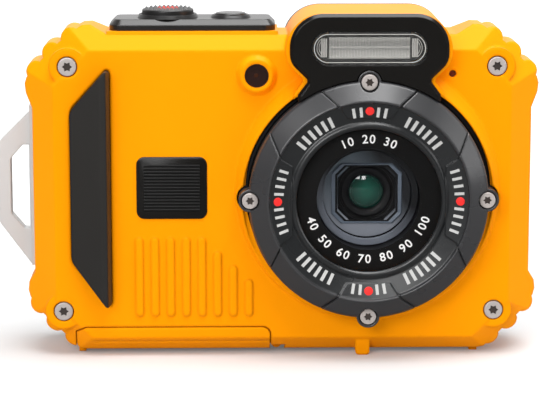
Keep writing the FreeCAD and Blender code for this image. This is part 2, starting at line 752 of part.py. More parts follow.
def strap_heights(insets):
    """Four heights of the strap bar, two below its flange's top and two above its bottom."""
    tops = [STRAP_TOP_Z - inset for inset in insets[:2]]
    bottoms = [STRAP_BOTTOM_Z + inset for inset in insets[2:]]
    return tops + bottoms


def plate_peg_places():
    return [(DECK_LEFT_X + PLATE_PEG_INSET, CONTROL_Y), (DECK_RIGHT_X - PLATE_PEG_INSET, CONTROL_Y)]


def deck_z():
    return TOP_Z + DECK_RISE


def rib_solids():
    ribs = []
    for i in range(RIB_COUNT):
        x = RIB_FIRST_X + i * RIB_PITCH
        drop = max(0, i - RIB_SLANT_START) * RIB_PITCH * RIB_SLANT
        half = RIB_WIDTH / 2
        z0 = BOTTOM_Z + RIB_BOTTOM_RISE
        z1 = BOTTOM_Z + RIB_TOP_RISE - drop
        rib = rounded_rect(x - half, x + half, z0, z1, half - EPS, FRONT_Y - RIB_HEIGHT, FRONT_Y + EPS)
        ribs.append(rib)
    return ribs


def foot_solids():
    bottom = GROUND_Z
    foot = rounded_rect(FOOT_X - FOOT_HALF_WIDTH, FOOT_X + FOOT_HALF_WIDTH, bottom, BOTTOM_Z + FOOT_WEB_RISE,
                        FOOT_HALF_WIDTH / 2, FOOT_FRONT_Y, FOOT_REAR_Y)
    right = box(RUNNER_RIGHT_X - RUNNER_HALF_WIDTH, RUNNER_RIGHT_X + RUNNER_HALF_WIDTH,
                RUNNER_FRONT_Y, RUNNER_REAR_Y, bottom, BOTTOM_Z + FOOT_ROOT)
    left_front = DOOR_REAR_Y + 2 * DOOR_GAP
    left = box(RUNNER_LEFT_X - RUNNER_HALF_WIDTH, RUNNER_LEFT_X + RUNNER_HALF_WIDTH,
               left_front, RUNNER_REAR_Y, bottom, BOTTOM_Z + FOOT_ROOT)
    return [foot, right, left]


def control_bores(cut_from_z, cut_to_z, radius):
    return [rod_z(x, CONTROL_Y, radius, cut_from_z, cut_to_z) for x in (SHUTTER_X, POWER_X)]


def collar_crest_y(z):
    """Front of the collar at a height; the collar leans, and sinks into the front below the lens."""
    return FRONT_Y - COLLAR_RISE - math.tan(math.radians(COLLAR_TILT)) * (z - LENS_Z)


def front_shell():
    envelope = body_envelope()
    solid = envelope.common(box(-FAR, FAR, -FAR, PART_Y, -FAR, FAR))
    hump = hump_block().common(box(-FAR, FAR, -FAR, PART_Y, -FAR, FAR))
    tilt = math.radians(COLLAR_TILT)
    collar_foot_radius = COLLAR_CREST_RADIUS + COLLAR_SLOPE * COLLAR_DEPTH
    crest_centre = vec(LENS_X, collar_crest_y(LENS_Z), LENS_Z)
    collar = Part.makeCone(COLLAR_CREST_RADIUS, collar_foot_radius, COLLAR_DEPTH,
                           crest_centre, vec(0, math.cos(tilt), math.sin(tilt)))
    deck = box(DECK_LEFT_X - 0.5, DECK_RIGHT_X + 0.5, DECK_FRONT_Y - 0.4, PART_Y - 0.2, TOP_Z - 1.0, deck_z())
    lamp_boss = Part.makeCone(LAMP_BOSS_TOP_RADIUS, LAMP_BOSS_RADIUS, LAMP_BOSS_HEIGHT,
                              vec(LAMP_X, FRONT_Y - LAMP_BOSS_HEIGHT, LAMP_Z), vec(0, 1, 0))
    bosses = [rod_y(x, z, SCREW_BOSS_RADIUS, FRONT_Y + SCREW_BOSS_DROP, BELT_FRONT_Y)
              for x, z in corner_screw_places()]
    seats = [rod_y(LENS_X, LENS_Z, BEZEL_RADIUS, SEAT_Y, FRONT_Y + EPS)]
    for x, z in ear_places():
        seats.append(rod_y(x, z, EAR_RADIUS, SEAT_Y, FRONT_Y + EPS))
        if collar_crest_y(z) < SEAT_Y:
            pod_radius = EAR_RADIUS + EAR_GAP + EAR_WALL
            seats.append(rod_y(x, z, pod_radius, collar_crest_y(z), FRONT_Y + EPS))
    solid = solid.multiFuse([hump, collar, deck, lamp_boss] + bosses + seats)
    # Room inside
    inner = body_cavity()
    hump_room = box(LENS_X - HUMP_CAVITY_HALF_WIDTH, LENS_X + HUMP_CAVITY_HALF_WIDTH,
                    FASCIA_FRONT_Y + 2 * FASCIA_THICKNESS, CHASSIS_Y, HUMP_FLOOR_Z, HUMP_TOP_Z - HUMP_ROOF)
    solid = solid.cut(inner).cut(hump_room).cut(battery_box_block())
    solid = solid.multiFuse([rod_y(x, z, POST_RADIUS, INNER_FRONT_Y - EPS, CHASSIS_Y)
                             for x, z in chassis_post_places()])
    boss_top = BOTTOM_Z + TRIPOD_HOLE_DEPTH + TRIPOD_INSERT_CAP + TRIPOD_BOSS_WALL
    boss_radius = TRIPOD_INSERT_RADIUS + TRIPOD_BOSS_WALL
    solid = solid.fuse(rod_z(TRIPOD_X, TRIPOD_Y, boss_radius, BOTTOM_Z, boss_top))
    # Seat of the bezel ring and bore of the lens
    solid = solid.cut(rod_y(LENS_X, LENS_Z, BEZEL_RADIUS + BEZEL_GAP, -FAR, SEAT_Y))
    solid = solid.fuse(rod_y(LENS_X, LENS_Z, TUBE_RADIUS, LIP_Y + LIP_THICKNESS + CLOSE_FIT, SEAT_Y + EPS))
    solid = solid.cut(rod_y(LENS_X, LENS_Z, WINDOW_RADIUS + CLOSE_FIT, -FAR, ledge_y()))
    solid = solid.cut(rod_y(LENS_X, LENS_Z, LEDGE_RADIUS, -FAR, INNER_FRONT_Y + 1))
    cutters = []
    for x, z in ear_places():
        cutters.append(rod_y(x, z, EAR_RADIUS + EAR_GAP, -FAR, SEAT_Y))
        bore = BEZEL_SCREW_SHANK_RADIUS + SHANK_FIT
        cutters.append(rod_y(x, z, bore, SEAT_Y - 1, BEZEL_SCREW_END_Y + LOOSE_FIT))
    # Corner screws
    for x, z in corner_screw_places():
        cutters.append(rod_y(x, z, SCREW_HEAD_RADIUS + LOOSE_FIT, -FAR, corner_seat_y()))
        cutters.append(rod_y(x, z, SCREW_SHANK_RADIUS + LOOSE_FIT, -FAR, PART_Y + 1))
    for x, z in chassis_post_places():
        end_y = CHASSIS_Y - CHASSIS_SCREW_GRIP - LOOSE_FIT
        cutters.append(rod_y(x, z, CHASSIS_SCREW_RADIUS + SHANK_FIT, end_y, CHASSIS_Y + 1))
    # Flash, lamp and microphone openings
    cutters.append(flash_stadium(FLASH_RIM, -FAR, FASCIA_FRONT_Y + 3 * FASCIA_THICKNESS))
    cutters.append(rod_y(LAMP_X, LAMP_Z, LAMP_HOLE_RADIUS, -FAR, INNER_FRONT_Y + 1))
    cutters.append(rod_y(MIC_X, MIC_Z, MIC_HOLE_RADIUS, -FAR, INNER_FRONT_Y + 1))
    # Grip pad recess
    cutters.append(pad_block(PAD_GAP, FRONT_Y - 1, FRONT_Y + PAD_SINK))
    # Control deck
    cutters += control_bores(CEILING_Z - 1, FAR, STEM_RADIUS + CLOSE_FIT)
    o_ring_room = STEM_RADIUS + CLOSE_FIT + O_RING_SECTION
    cutters += control_bores(o_ring_z() - O_RING_SECTION, deck_z() + 1, o_ring_room)
    for x, y in plate_peg_places():
        cutters.append(rod_z(x, y, PLATE_PEG_RADIUS + SHANK_FIT, CEILING_Z - 1, FAR))
    # Strap bar pegs
    for z in strap_peg_heights():
        peg_bore = STRAP_PEG_RADIUS + SHANK_FIT
        cutters.append(rod_x(STRAP_Y, z, peg_bore, LEFT_X - 1, LEFT_X + CAVITY_INSET_X + 1))
    # Battery door and its hinge
    x0, x1, y0, y1 = mouth_sides()
    cutters.append(door_solid(DOOR_GAP))
    cutters.append(box(x0, x1, y0, y1, BOTTOM_Z, FLOOR_Z + 1))
    hinge_room_y = hinge_front_y() - KNUCKLE_GAP
    cutters.append(rod_y(HINGE_X, HINGE_Z, HINGE_CLEAR_RADIUS, hinge_room_y, DOOR_REAR_Y + DOOR_GAP))
    cutters.append(rod_y(HINGE_X, HINGE_Z, HINGE_PIN_RADIUS + SHANK_FIT, HINGE_Y, PART_Y + 1))
    cutters.append(door_swing_notch())
    cutters.append(latch_tongue_room())
    # Tripod insert
    insert_top = BOTTOM_Z + TRIPOD_HOLE_DEPTH + TRIPOD_INSERT_CAP
    cutters.append(rod_z(TRIPOD_X, TRIPOD_Y, TRIPOD_INSERT_RADIUS + SHANK_FIT, -FAR, insert_top))
    for cutter in cutters:
        solid = solid.cut(cutter)
    return solid.multiFuse(rib_solids() + foot_solids() + shell_knuckles()).removeSplitter()


def hinge_front_y():
    return HINGE_Y - KNUCKLE_HALF_LENGTH - KNUCKLE_GAP - SHELL_KNUCKLE_LENGTH


def shell_knuckles():
    """Hinge ears of the shell on both sides of the door's knuckle."""
    ears = []
    start = KNUCKLE_HALF_LENGTH + KNUCKLE_GAP
    for side in (-1, 1):
        near = HINGE_Y + side * start
        far = HINGE_Y + side * (start + SHELL_KNUCKLE_LENGTH)
        y0 = min(near, far)
        y1 = max(near, far)
        ear = rod_y(HINGE_X, HINGE_Z, KNUCKLE_RADIUS, y0, y1)
        web = box(HINGE_X - KNUCKLE_RADIUS / 2, HINGE_X + HINGE_CLEAR_RADIUS + 0.2, y0, y1, HINGE_Z, FLOOR_Z)
        ear = ear.fuse(web).cut(rod_y(HINGE_X, HINGE_Z, HINGE_PIN_RADIUS + SHANK_FIT, y0 - 1, y1 + 1))
        ears.append(ear)
    return ears


def rear_window_box(shrink, y0, y1):
    return rounded_rect(SCREEN_LEFT_X + shrink, SCREEN_RIGHT_X - shrink, SCREEN_BOTTOM_Z + shrink,
                        SCREEN_TOP_Z - shrink, SCREEN_CORNER_RADIUS, y0, y1)


def round_keys():
    """Round keys on the rear, each as name, x, z and radius."""
    return [
        ("record_button", RECORD_X, UPPER_KEYS_Z, RECORD_RADIUS),
        ("menu_button", KEY_COLUMN_X - LOWER_KEY_SPREAD, LOWER_KEYS_Z, ROUND_KEY_RADIUS),
        ("playback_button", KEY_COLUMN_X + LOWER_KEY_SPREAD, LOWER_KEYS_Z, ROUND_KEY_RADIUS),
        ("ok_button", KEY_COLUMN_X, NAV_Z, OK_RADIUS),
    ]


def rocker_plate(grow, y0, y1):
    half_w = ROCKER_HALF_WIDTH + grow
    half_h = ROCKER_HALF_HEIGHT + grow
    return rounded_rect(ROCKER_X - half_w, ROCKER_X + half_w, UPPER_KEYS_Z - half_h, UPPER_KEYS_Z + half_h,
                        half_h - EPS, y0, y1)


def speaker_hole_places():
    middle = (SPEAKER_HOLES - 1) / 2
    return [(SPEAKER_X + (i - middle) * SPEAKER_HOLE_PITCH, SPEAKER_Z) for i in range(SPEAKER_HOLES)]


def rear_shell():
    envelope = body_envelope().fuse(hump_block())
    solid = envelope.common(box(-FAR, FAR, PART_Y, FAR, -FAR, FAR)).cut(body_cavity())
    cutters = [seal_frame(PART_Y - 1, PART_Y + SEAL_HEIGHT)]
    for x, z in corner_screw_places():
        cutters.append(rod_y(x, z, SCREW_SHANK_RADIUS + SHANK_FIT, PART_Y - 1, screw_end_y() + LOOSE_FIT))
    glass_back = REAR_Y - SCREEN_SINK - SCREEN_GLASS
    cutters.append(rear_window_box(-CLOSE_FIT, glass_back, FAR))
    cutters.append(rear_window_box(SCREEN_LEDGE, INNER_REAR_Y - 1, FAR))
    for name, x, z, radius in round_keys():
        if name != "ok_button":
            cutters.append(rod_y(x, z, radius + KEY_GAP, INNER_REAR_Y - 1, FAR))
    cutters.append(rod_y(KEY_COLUMN_X, NAV_Z, NAV_OUTER_RADIUS + ROCKER_GAP, INNER_REAR_Y - 1, FAR))
    cutters.append(rocker_plate(ROCKER_GAP, INNER_REAR_Y - 1, FAR))
    cutters.append(rod_y(INDICATOR_X, UPPER_KEYS_Z, INDICATOR_RADIUS, INNER_REAR_Y - 1, FAR))
    for x, z in speaker_hole_places():
        cutters.append(rod_y(x, z, SPEAKER_HOLE_RADIUS, INNER_REAR_Y - 1, FAR))
    for cutter in cutters:
        solid = solid.cut(cutter)
    return solid.removeSplitter()


def seal_frame(y0, y1):
    """Frame of the housing seal, as wide on its slanted sides as on its straight ones."""
    half_w = BODY_HALF_WIDTH - SEAL_INSET_X
    half_h = BODY_HALF_HEIGHT - SEAL_INSET_Z
    core_cut = SEAL_CUT - SEAL_WIDTH * (2 - math.sqrt(2))
    core = octagon_block(half_w - SEAL_WIDTH, half_h - SEAL_WIDTH, core_cut, y0 - 1, y1 + 1)
    return octagon_block(half_w, half_h, SEAL_CUT, y0, y1).cut(core)


def housing_seal():
    return seal_frame(PART_Y, PART_Y + SEAL_HEIGHT)


def corner_seat_y():
    return FRONT_Y + SCREW_POCKET_DEPTH


def screw_end_y():
    return REAR_Y - 2 * WALL


def housing_screws():
    seat = corner_seat_y()
    head_y = seat - SCREW_HEAD_HEIGHT
    return [screw_y(x, z, SCREW_HEAD_RADIUS, head_y, seat, SCREW_SHANK_RADIUS, screw_end_y())
            for x, z in corner_screw_places()]


def ledge_y():
    return LIP_Y + LIP_THICKNESS + CLOSE_FIT + WINDOW_THICKNESS + WINDOW_SEAL_THICKNESS


def window_back_y():
    return ledge_y() - WINDOW_SEAL_THICKNESS


def bezel_profile(rise):
    """Section of the bezel ring; the rise lifts the parts of the four platforms."""
    return [
        (LIP_RADIUS, LIP_Y + LIP_THICKNESS), (TUBE_RADIUS + LOOSE_FIT, LIP_Y + LIP_THICKNESS),
        (TUBE_RADIUS + LOOSE_FIT, SEAT_Y), (BEZEL_RADIUS, SEAT_Y),
        (BEZEL_RADIUS, BEZEL_SHOULDER_Y - rise / 2),
        (BEZEL_RADIUS - 0.4, BEZEL_SHOULDER_Y - 0.4 - rise), (BEZEL_BAND_RADIUS, BEZEL_FRONT_Y - rise),
        (BEZEL_BAND_RADIUS - 0.3, BEZEL_FRONT_Y - rise), (CHANNEL_OUTER_RADIUS, CHANNEL_OUTER_Y - rise),
        (CHANNEL_INNER_RADIUS, CHANNEL_INNER_Y - rise), (CHANNEL_INNER_RADIUS - 0.6, LIP_Y - 0.1 - rise),
        (LIP_RADIUS + 0.4, LIP_Y - 0.1), (LIP_RADIUS, LIP_Y + 0.2),
    ]


def platform_wedge(half_widths, turn, grow):
    """Prism over one platform, turned about the lens axis; it can be grown sideways."""
    outer_radius, outer_half = half_widths[-1]
    slope = (outer_half - half_widths[-2][1]) / (outer_radius - half_widths[-2][0])
    tip_radius = BEZEL_RADIUS + 1
    tip_half = outer_half + slope * (tip_radius - outer_radius)
    right = [(half + grow, radius) for radius, half in half_widths] + [(tip_half + grow, tip_radius)]
    points = right + [(-x, z) for x, z in reversed(right)]
    placed = [(LENS_X + x, LENS_Z + z) for x, z in points]
    wedge = plate_xz(placed, [0] * len(placed), BEZEL_FRONT_Y - 2, SEAT_Y - 2)
    wedge.rotate(vec(LENS_X, 0, LENS_Z), vec(0, 1, 0), turn)
    return wedge


def bezel_ring():
    """Ring with four raised platforms, each set off from the sloped band by a groove on both sides."""
    ring = revolve_y(bezel_profile(0), LENS_X, LENS_Z)
    raised = revolve_y(bezel_profile(PLATFORM_RISE), LENS_X, LENS_Z)
    groove_floor = revolve_y(bezel_profile(-GROOVE_DEPTH), LENS_X, LENS_Z)
    band = ring_y(LENS_X, LENS_Z, BEZEL_RADIUS + 1, CHANNEL_OUTER_RADIUS, BEZEL_FRONT_Y - 2, SEAT_Y - 2)
    platforms = [(PLATFORM_HALF_WIDTHS, 0), (PLATFORM_HALF_WIDTHS, 180)]
    platforms += [(SIDE_PLATFORM_HALF_WIDTHS, 90), (SIDE_PLATFORM_HALF_WIDTHS, 270)]
    for half_widths, turn in platforms:
        wide = platform_wedge(half_widths, turn, GROOVE_WIDTH)
        wedge = platform_wedge(half_widths, turn, 0)
        ring = ring.cut(wide.common(band).cut(groove_floor))
        ring = ring.fuse(raised.common(wedge))
    for x, z in ear_places():
        ring = ring.fuse(rod_y(x, z, EAR_RADIUS, BEZEL_SHOULDER_Y - 0.6, SEAT_Y))
    for x, z in ear_places():
        ring = ring.cut(rod_y(x, z, EAR_POCKET_RADIUS, -FAR, EAR_FLOOR_Y))
        ring = ring.cut(rod_y(x, z, BEZEL_SCREW_SHANK_RADIUS + CLOSE_FIT, -FAR, SEAT_Y + 1))
    return ring.removeSplitter()


def bezel_screws():
    head_y = EAR_FLOOR_Y - BEZEL_SCREW_HEAD_HEIGHT
    shank = BEZEL_SCREW_SHANK_RADIUS
    return [screw_y(x, z, BEZEL_SCREW_HEAD_RADIUS, head_y, EAR_FLOOR_Y, shank, BEZEL_SCREW_END_Y)
            for x, z in ear_places()]


def flash_fascia():
    plate = hump_plate(0, FASCIA_FRONT_Y, FASCIA_FRONT_Y + FASCIA_THICKNESS)
    rim = [e for e in plate.Edges if all(abs(v.Y - FASCIA_FRONT_Y) < EPS for v in e.Vertexes)]
    plate = plate.makeChamfer(FASCIA_BEVEL, rim)
    plate = plate.cut(rod_y(LENS_X, LENS_Z, BEZEL_RADIUS + LOOSE_FIT, -FAR, FAR))
    top_x, top_z = ear_places()[1]
    plate = plate.cut(rod_y(top_x, top_z, EAR_RADIUS + LOOSE_FIT, -FAR, FAR))
    plate = plate.cut(flash_stadium(-CLOSE_FIT, -FAR, pane_back_y()))
    return plate.cut(flash_stadium(FLASH_RIM, -FAR, FAR))


def pane_back_y():
    return FASCIA_FRONT_Y + FLASH_PANE


def flash_window():
    front = FASCIA_FRONT_Y - FLASH_PROUD
    pane = flash_stadium(0, front, pane_back_y())
    rim = [e for e in pane.Edges if all(abs(v.Y - front) < EPS for v in e.Vertexes)]
    return pane.makeChamfer(0.15, rim)


def reflector_front_y():
    return FASCIA_FRONT_Y + FASCIA_THICKNESS + CLOSE_FIT


def flash_reflector():
    """Trough whose section narrows toward the tube, with a flange behind the hump's front wall."""
    front = reflector_front_y()
    back = front + REFLECTOR_DEPTH
    body = flash_stadium(FLASH_RIM + CLOSE_FIT, front, back)
    flange_y = FASCIA_FRONT_Y + 2 * FASCIA_THICKNESS
    half_w = FLASH_HALF_WIDTH
    half_h = FLASH_HALF_HEIGHT
    flange = box(FLASH_X - half_w, FLASH_X + half_w, flange_y, flange_y + REFLECTOR_FLANGE,
                 FLASH_Z - half_h, FLASH_Z + half_h)
    mouth = half_h - FLASH_RIM - CLOSE_FIT - REFLECTOR_LIP
    floor_y = back - FLASH_TUBE_FROM_BACK + FLASH_TUBE_RADIUS + 2 * CLOSE_FIT
    low = [(front - 1, FLASH_Z - mouth), (front, FLASH_Z - mouth), (floor_y, FLASH_Z - REFLECTOR_THROAT)]
    high = [(y, 2 * FLASH_Z - z) for y, z in reversed(low)]
    section = [vec(0, y, z) for y, z in low + high]
    trough = Part.Face(Part.makePolygon(section + [section[0]])).extrude(vec(2 * REFLECTOR_HALF_WIDTH, 0, 0))
    trough.translate(vec(FLASH_X - REFLECTOR_HALF_WIDTH, 0, 0))
    solid = body.fuse(flange).cut(trough)
    bore = FLASH_TUBE_RADIUS + CLOSE_FIT
    return solid.cut(rod_x(flash_tube_y(), FLASH_Z, bore, FLASH_X - FAR, FLASH_X + FAR))


def flash_tube_y():
    return reflector_front_y() + REFLECTOR_DEPTH - FLASH_TUBE_FROM_BACK


def flash_tube():
    y = flash_tube_y()
    half = FLASH_TUBE_HALF_LENGTH
    tube = rod_x(y, FLASH_Z, FLASH_TUBE_RADIUS, FLASH_X - half, FLASH_X + half)
    pin_half = half + FLASH_TUBE_PIN
    pin = rod_x(y, FLASH_Z, FLASH_TUBE_RADIUS / 2, FLASH_X - pin_half, FLASH_X + pin_half)
    return tube.fuse(pin).removeSplitter()


def flash_capacitor():
    """Capacitor that lies against the chassis, between the two posts of its side."""
    heights = [z for x, z in chassis_post_places() if x > BODY_X]
    bottom = min(heights) + POST_RADIUS + CAPACITOR_FOOT_GAP
    top = max(heights) - POST_RADIUS - CAPACITOR_TOP_GAP
    return rod_z(CAPACITOR_X, CHASSIS_Y - CAPACITOR_RADIUS, CAPACITOR_RADIUS, bottom, top)


def lens_base_front_y():
    return CHASSIS_Y - LENS_BASE_THICKNESS


def sensor_front_y():
    return CHASSIS_Y - SENSOR_THICKNESS - CLOSE_FIT


def lens_tube():
    base_y = lens_base_front_y()
    tube = ring_y(LENS_X, LENS_Z, LENS_TUBE_RADIUS, LENS_TUBE_BORE, LENS_TUBE_FRONT_Y, base_y)
    half = LENS_BASE_HALF
    base = rounded_rect(LENS_X - half, LENS_X + half, LENS_Z - half, LENS_Z + half, 1.5, base_y, CHASSIS_Y)
    base = base.cut(rod_y(LENS_X, LENS_Z, REAR_LENS_RADIUS + SHANK_FIT, base_y - 1, sensor_front_y()))
    half_w = SENSOR_WIDTH / 2 + CLOSE_FIT
    half_h = SENSOR_HEIGHT / 2 + CLOSE_FIT
    pocket = box(LENS_X - half_w, LENS_X + half_w, sensor_front_y(), CHASSIS_Y + 1,
                 LENS_Z - half_h, LENS_Z + half_h)
    return tube.fuse(base.cut(pocket)).removeSplitter()


def rear_lens():
    y1 = sensor_front_y() - CLOSE_FIT
    return rod_y(LENS_X, LENS_Z, REAR_LENS_RADIUS, y1 - REAR_LENS_THICKNESS, y1)


def image_sensor():
    return box(LENS_X - SENSOR_WIDTH / 2, LENS_X + SENSOR_WIDTH / 2, CHASSIS_Y - SENSOR_THICKNESS, CHASSIS_Y,
               LENS_Z - SENSOR_HEIGHT / 2, LENS_Z + SENSOR_HEIGHT / 2)


def cam_ring():
    rear_y = lens_base_front_y() - LOOSE_FIT
    return ring_y(LENS_X, LENS_Z, CAM_RING_RADIUS, CAM_RING_BORE, CAM_RING_FRONT_Y, rear_y)


def barrel_mouth(y0, y1):
    half_w = BARREL_MOUTH_WIDTH / 2
    half_h = BARREL_MOUTH_HEIGHT / 2
    cut = BARREL_MOUTH_CUT
    points = [
        (half_w, half_h - cut), (half_w - cut, half_h), (cut - half_w, half_h), (-half_w, half_h - cut),
        (-half_w, cut - half_h), (cut - half_w, -half_h), (half_w - cut, -half_h), (half_w, cut - half_h),
    ]
    placed = [(LENS_X + x, LENS_Z + z) for x, z in points]
    return plate_xz(placed, [0.6] * len(placed), y0, y1)


def zoom_barrel():
    y0 = ZOOM_BARREL_FRONT_Y
    solid = rod_y(LENS_X, LENS_Z, ZOOM_BARREL_RADIUS, y0, y0 + ZOOM_BARREL_LENGTH)
    bore = rod_y(LENS_X, LENS_Z, ZOOM_BARREL_RADIUS - ZOOM_BARREL_WALL, y0 + ZOOM_FACE_THICKNESS, FAR)
    return solid.cut(bore).cut(barrel_mouth(y0 - 1, y0 + 2))


def inner_barrel():
    y0 = INNER_BARREL_FRONT_Y
    cup = rod_y(LENS_X, LENS_Z, INNER_BARREL_RADIUS, y0, y0 + INNER_BARREL_LENGTH)
    seat = rod_y(LENS_X, LENS_Z, FRONT_LENS_RADIUS + SHANK_FIT, y0 - 1, front_lens_back_y())
    light_path = rod_y(LENS_X, LENS_Z, REAR_LENS_RADIUS, y0 - 1, FAR)
    return cup.cut(seat).cut(light_path)


def front_lens_back_y():
    return INNER_BARREL_FRONT_Y + FRONT_LENS_BULGE + FRONT_LENS_THICKNESS


def front_lens():
    """Lens element with a bulging front."""
    back = front_lens_back_y()
    edge_y = back - FRONT_LENS_THICKNESS
    disc = rod_y(LENS_X, LENS_Z, FRONT_LENS_RADIUS, edge_y, back)
    sphere_radius = (FRONT_LENS_RADIUS ** 2 + FRONT_LENS_BULGE ** 2) / (2 * FRONT_LENS_BULGE)
    centre_y = edge_y - FRONT_LENS_BULGE + sphere_radius
    ball = Part.makeSphere(sphere_radius, vec(LENS_X, centre_y, LENS_Z))
    cap = ball.common(rod_y(LENS_X, LENS_Z, FRONT_LENS_RADIUS, edge_y - 2 * FRONT_LENS_BULGE, edge_y))
    return disc.fuse(cap).removeSplitter()


def zoom_motor():
    base_y = lens_base_front_y()
    x = LENS_X + MOTOR_OFFSET_X
    z = LENS_Z + MOTOR_OFFSET_Z
    can = rod_y(x, z, MOTOR_RADIUS, base_y - MOTOR_LENGTH, base_y)
    return can.fuse(rod_y(x, z, 0.6, base_y - MOTOR_LENGTH - 1.0, base_y - MOTOR_LENGTH)).removeSplitter()


def lens_window():
    back = window_back_y()
    return rod_y(LENS_X, LENS_Z, WINDOW_RADIUS, back - WINDOW_THICKNESS, back)


def lens_window_seal():
    return ring_y(LENS_X, LENS_Z, WINDOW_RADIUS, LEDGE_RADIUS + CLOSE_FIT, window_back_y(), ledge_y())


def lens_mask():
    back = window_back_y()
    return ring_y(LENS_X, LENS_Z, LEDGE_RADIUS, MASK_INNER_RADIUS, back, back + MASK_THICKNESS)


def assist_lamp_lens():
    front = FRONT_Y - LAMP_BOSS_HEIGHT + LAMP_LENS_SINK
    return rod_y(LAMP_X, LAMP_Z, LAMP_HOLE_RADIUS - SHANK_FIT, front, front + LAMP_LENS_THICKNESS)


def assist_lamp_led():
    tip = FRONT_Y - LAMP_BOSS_HEIGHT + LAMP_LENS_SINK + LAMP_LENS_THICKNESS + LOOSE_FIT
    bulb = rod_y(LAMP_X, LAMP_Z, LED_RADIUS, tip, INNER_FRONT_Y)
    flange = rod_y(LAMP_X, LAMP_Z, LED_FLANGE_RADIUS, INNER_FRONT_Y, INNER_FRONT_Y + LED_FLANGE_THICKNESS)
    return bulb.fuse(flange).removeSplitter()


def microphone():
    return rod_y(MIC_X, MIC_Z, MIC_RADIUS, INNER_FRONT_Y, INNER_FRONT_Y + MIC_DEPTH)


def pad_outline(grow):
    """Grip pad outline, grown by moving each point away from the outline's middle."""
    upper = zip((PAD_RIGHT_X, PAD_TIP_X, PAD_LEFT_X), PAD_TOP_DROPS)
    lower = zip((PAD_LEFT_X, PAD_TIP_X, PAD_RIGHT_X), PAD_BOTTOM_RISES)
    points = [(x, TOP_Z - drop) for x, drop in upper] + [(x, BOTTOM_Z + rise) for x, rise in lower]
    middle_x = (PAD_LEFT_X + PAD_RIGHT_X) / 2
    grown = []
    for x, z in points:
        dx = math.copysign(grow, x - middle_x)
        dz = math.copysign(grow * PAD_END_SHARE, z - BODY_Z)
        grown.append((x + dx, z + dz))
    return grown


def pad_block(grow, y0, y1):
    return plate_xz(pad_outline(grow), PAD_RADII, y0, y1)


def grip_pad():
    """Wedge-shaped pad whose ridge lies near its right edge."""
    right = PAD_RIGHT_X
    left = PAD_LEFT_X
    ridge = right - PAD_RIDGE_FROM_EDGE
    back = FRONT_Y + PAD_SINK
    section = [
        vec(left - 1, back, 0), vec(left - 1, FRONT_Y - PAD_EDGE_HEIGHT, 0),
        vec(ridge - PAD_CREST_WIDTH, FRONT_Y - PAD_HEIGHT, 0),
        vec(ridge, FRONT_Y - PAD_HEIGHT + PAD_CREST_DROP, 0),
        vec(right + 0.1, FRONT_Y - PAD_EDGE_HEIGHT, 0), vec(right + 0.1, back, 0),
    ]
    wedge = Part.Face(Part.makePolygon(section + [section[0]])).extrude(vec(0, 0, FAR))
    return pad_block(0, FRONT_Y - PAD_HEIGHT - 1, back).common(wedge)


def top_plate():
    z0 = deck_z()
    z1 = z0 + PLATE_HEIGHT
    x0, x1, y0, y1 = DECK_LEFT_X, DECK_RIGHT_X, DECK_FRONT_Y, DECK_REAR_Y
    solid = box(x0, x1, y0, y1, z0, z1)
    uprights = [e for e in solid.Edges if abs(e.Vertexes[0].Z - e.Vertexes[1].Z) > PLATE_HEIGHT / 2]
    solid = solid.makeFillet(PLATE_CORNER_RADIUS, uprights)
    rim = [e for e in solid.Edges if all(abs(v.Z - z1) < EPS for v in e.Vertexes)]
    solid = solid.makeChamfer(PLATE_BEVEL, rim)
    for x, y in plate_peg_places():
        solid = solid.fuse(rod_z(x, y, PLATE_PEG_RADIUS, CEILING_Z, z0 + EPS))
    buttons = [(SHUTTER_X, SHUTTER_RADIUS, SHUTTER_TRAVEL), (POWER_X, POWER_RADIUS, POWER_TRAVEL)]
    for x, radius, travel in buttons:
        pocket_z = z1 - CAP_SINK - travel - CAP_ROOM
        solid = solid.cut(rod_z(x, CONTROL_Y, radius + LOOSE_FIT, pocket_z, FAR))
        solid = solid.cut(rod_z(x, CONTROL_Y, STEM_RADIUS + CLOSE_FIT, CEILING_Z, FAR))
    return solid.removeSplitter()


def plate_top_z():
    return deck_z() + PLATE_HEIGHT


def button_collars():
    z = plate_top_z()
    collars = []
    for x, outer, inner, height in (
        (SHUTTER_X, SHUTTER_COLLAR_RADIUS, SHUTTER_RADIUS, SHUTTER_COLLAR_HEIGHT),
        (POWER_X, POWER_COLLAR_RADIUS, POWER_RADIUS, POWER_COLLAR_HEIGHT),
    ):
        collar = Part.makeCone(outer, outer - 0.35, height, vec(x, CONTROL_Y, z), vec(0, 0, 1))
        collars.append(collar.cut(rod_z(x, CONTROL_Y, inner + LOOSE_FIT, z - 1, z + height + 1)))
    return collars


def stem_tip_z():
    return CEILING_Z - STEM_TIP_DROP


def push_button(x, radius, proud):
    z1 = plate_top_z() + proud
    cap = rod_z(x, CONTROL_Y, radius, plate_top_z() - CAP_SINK, z1)
    edge = [e for e in cap.Edges if len(e.Vertexes) == 1 and abs(e.Vertexes[0].Z - z1) < EPS]
    cap = cap.makeFillet(0.35, edge)
    return cap.fuse(rod_z(x, CONTROL_Y, STEM_RADIUS, stem_tip_z(), plate_top_z() - CAP_SINK)).removeSplitter()


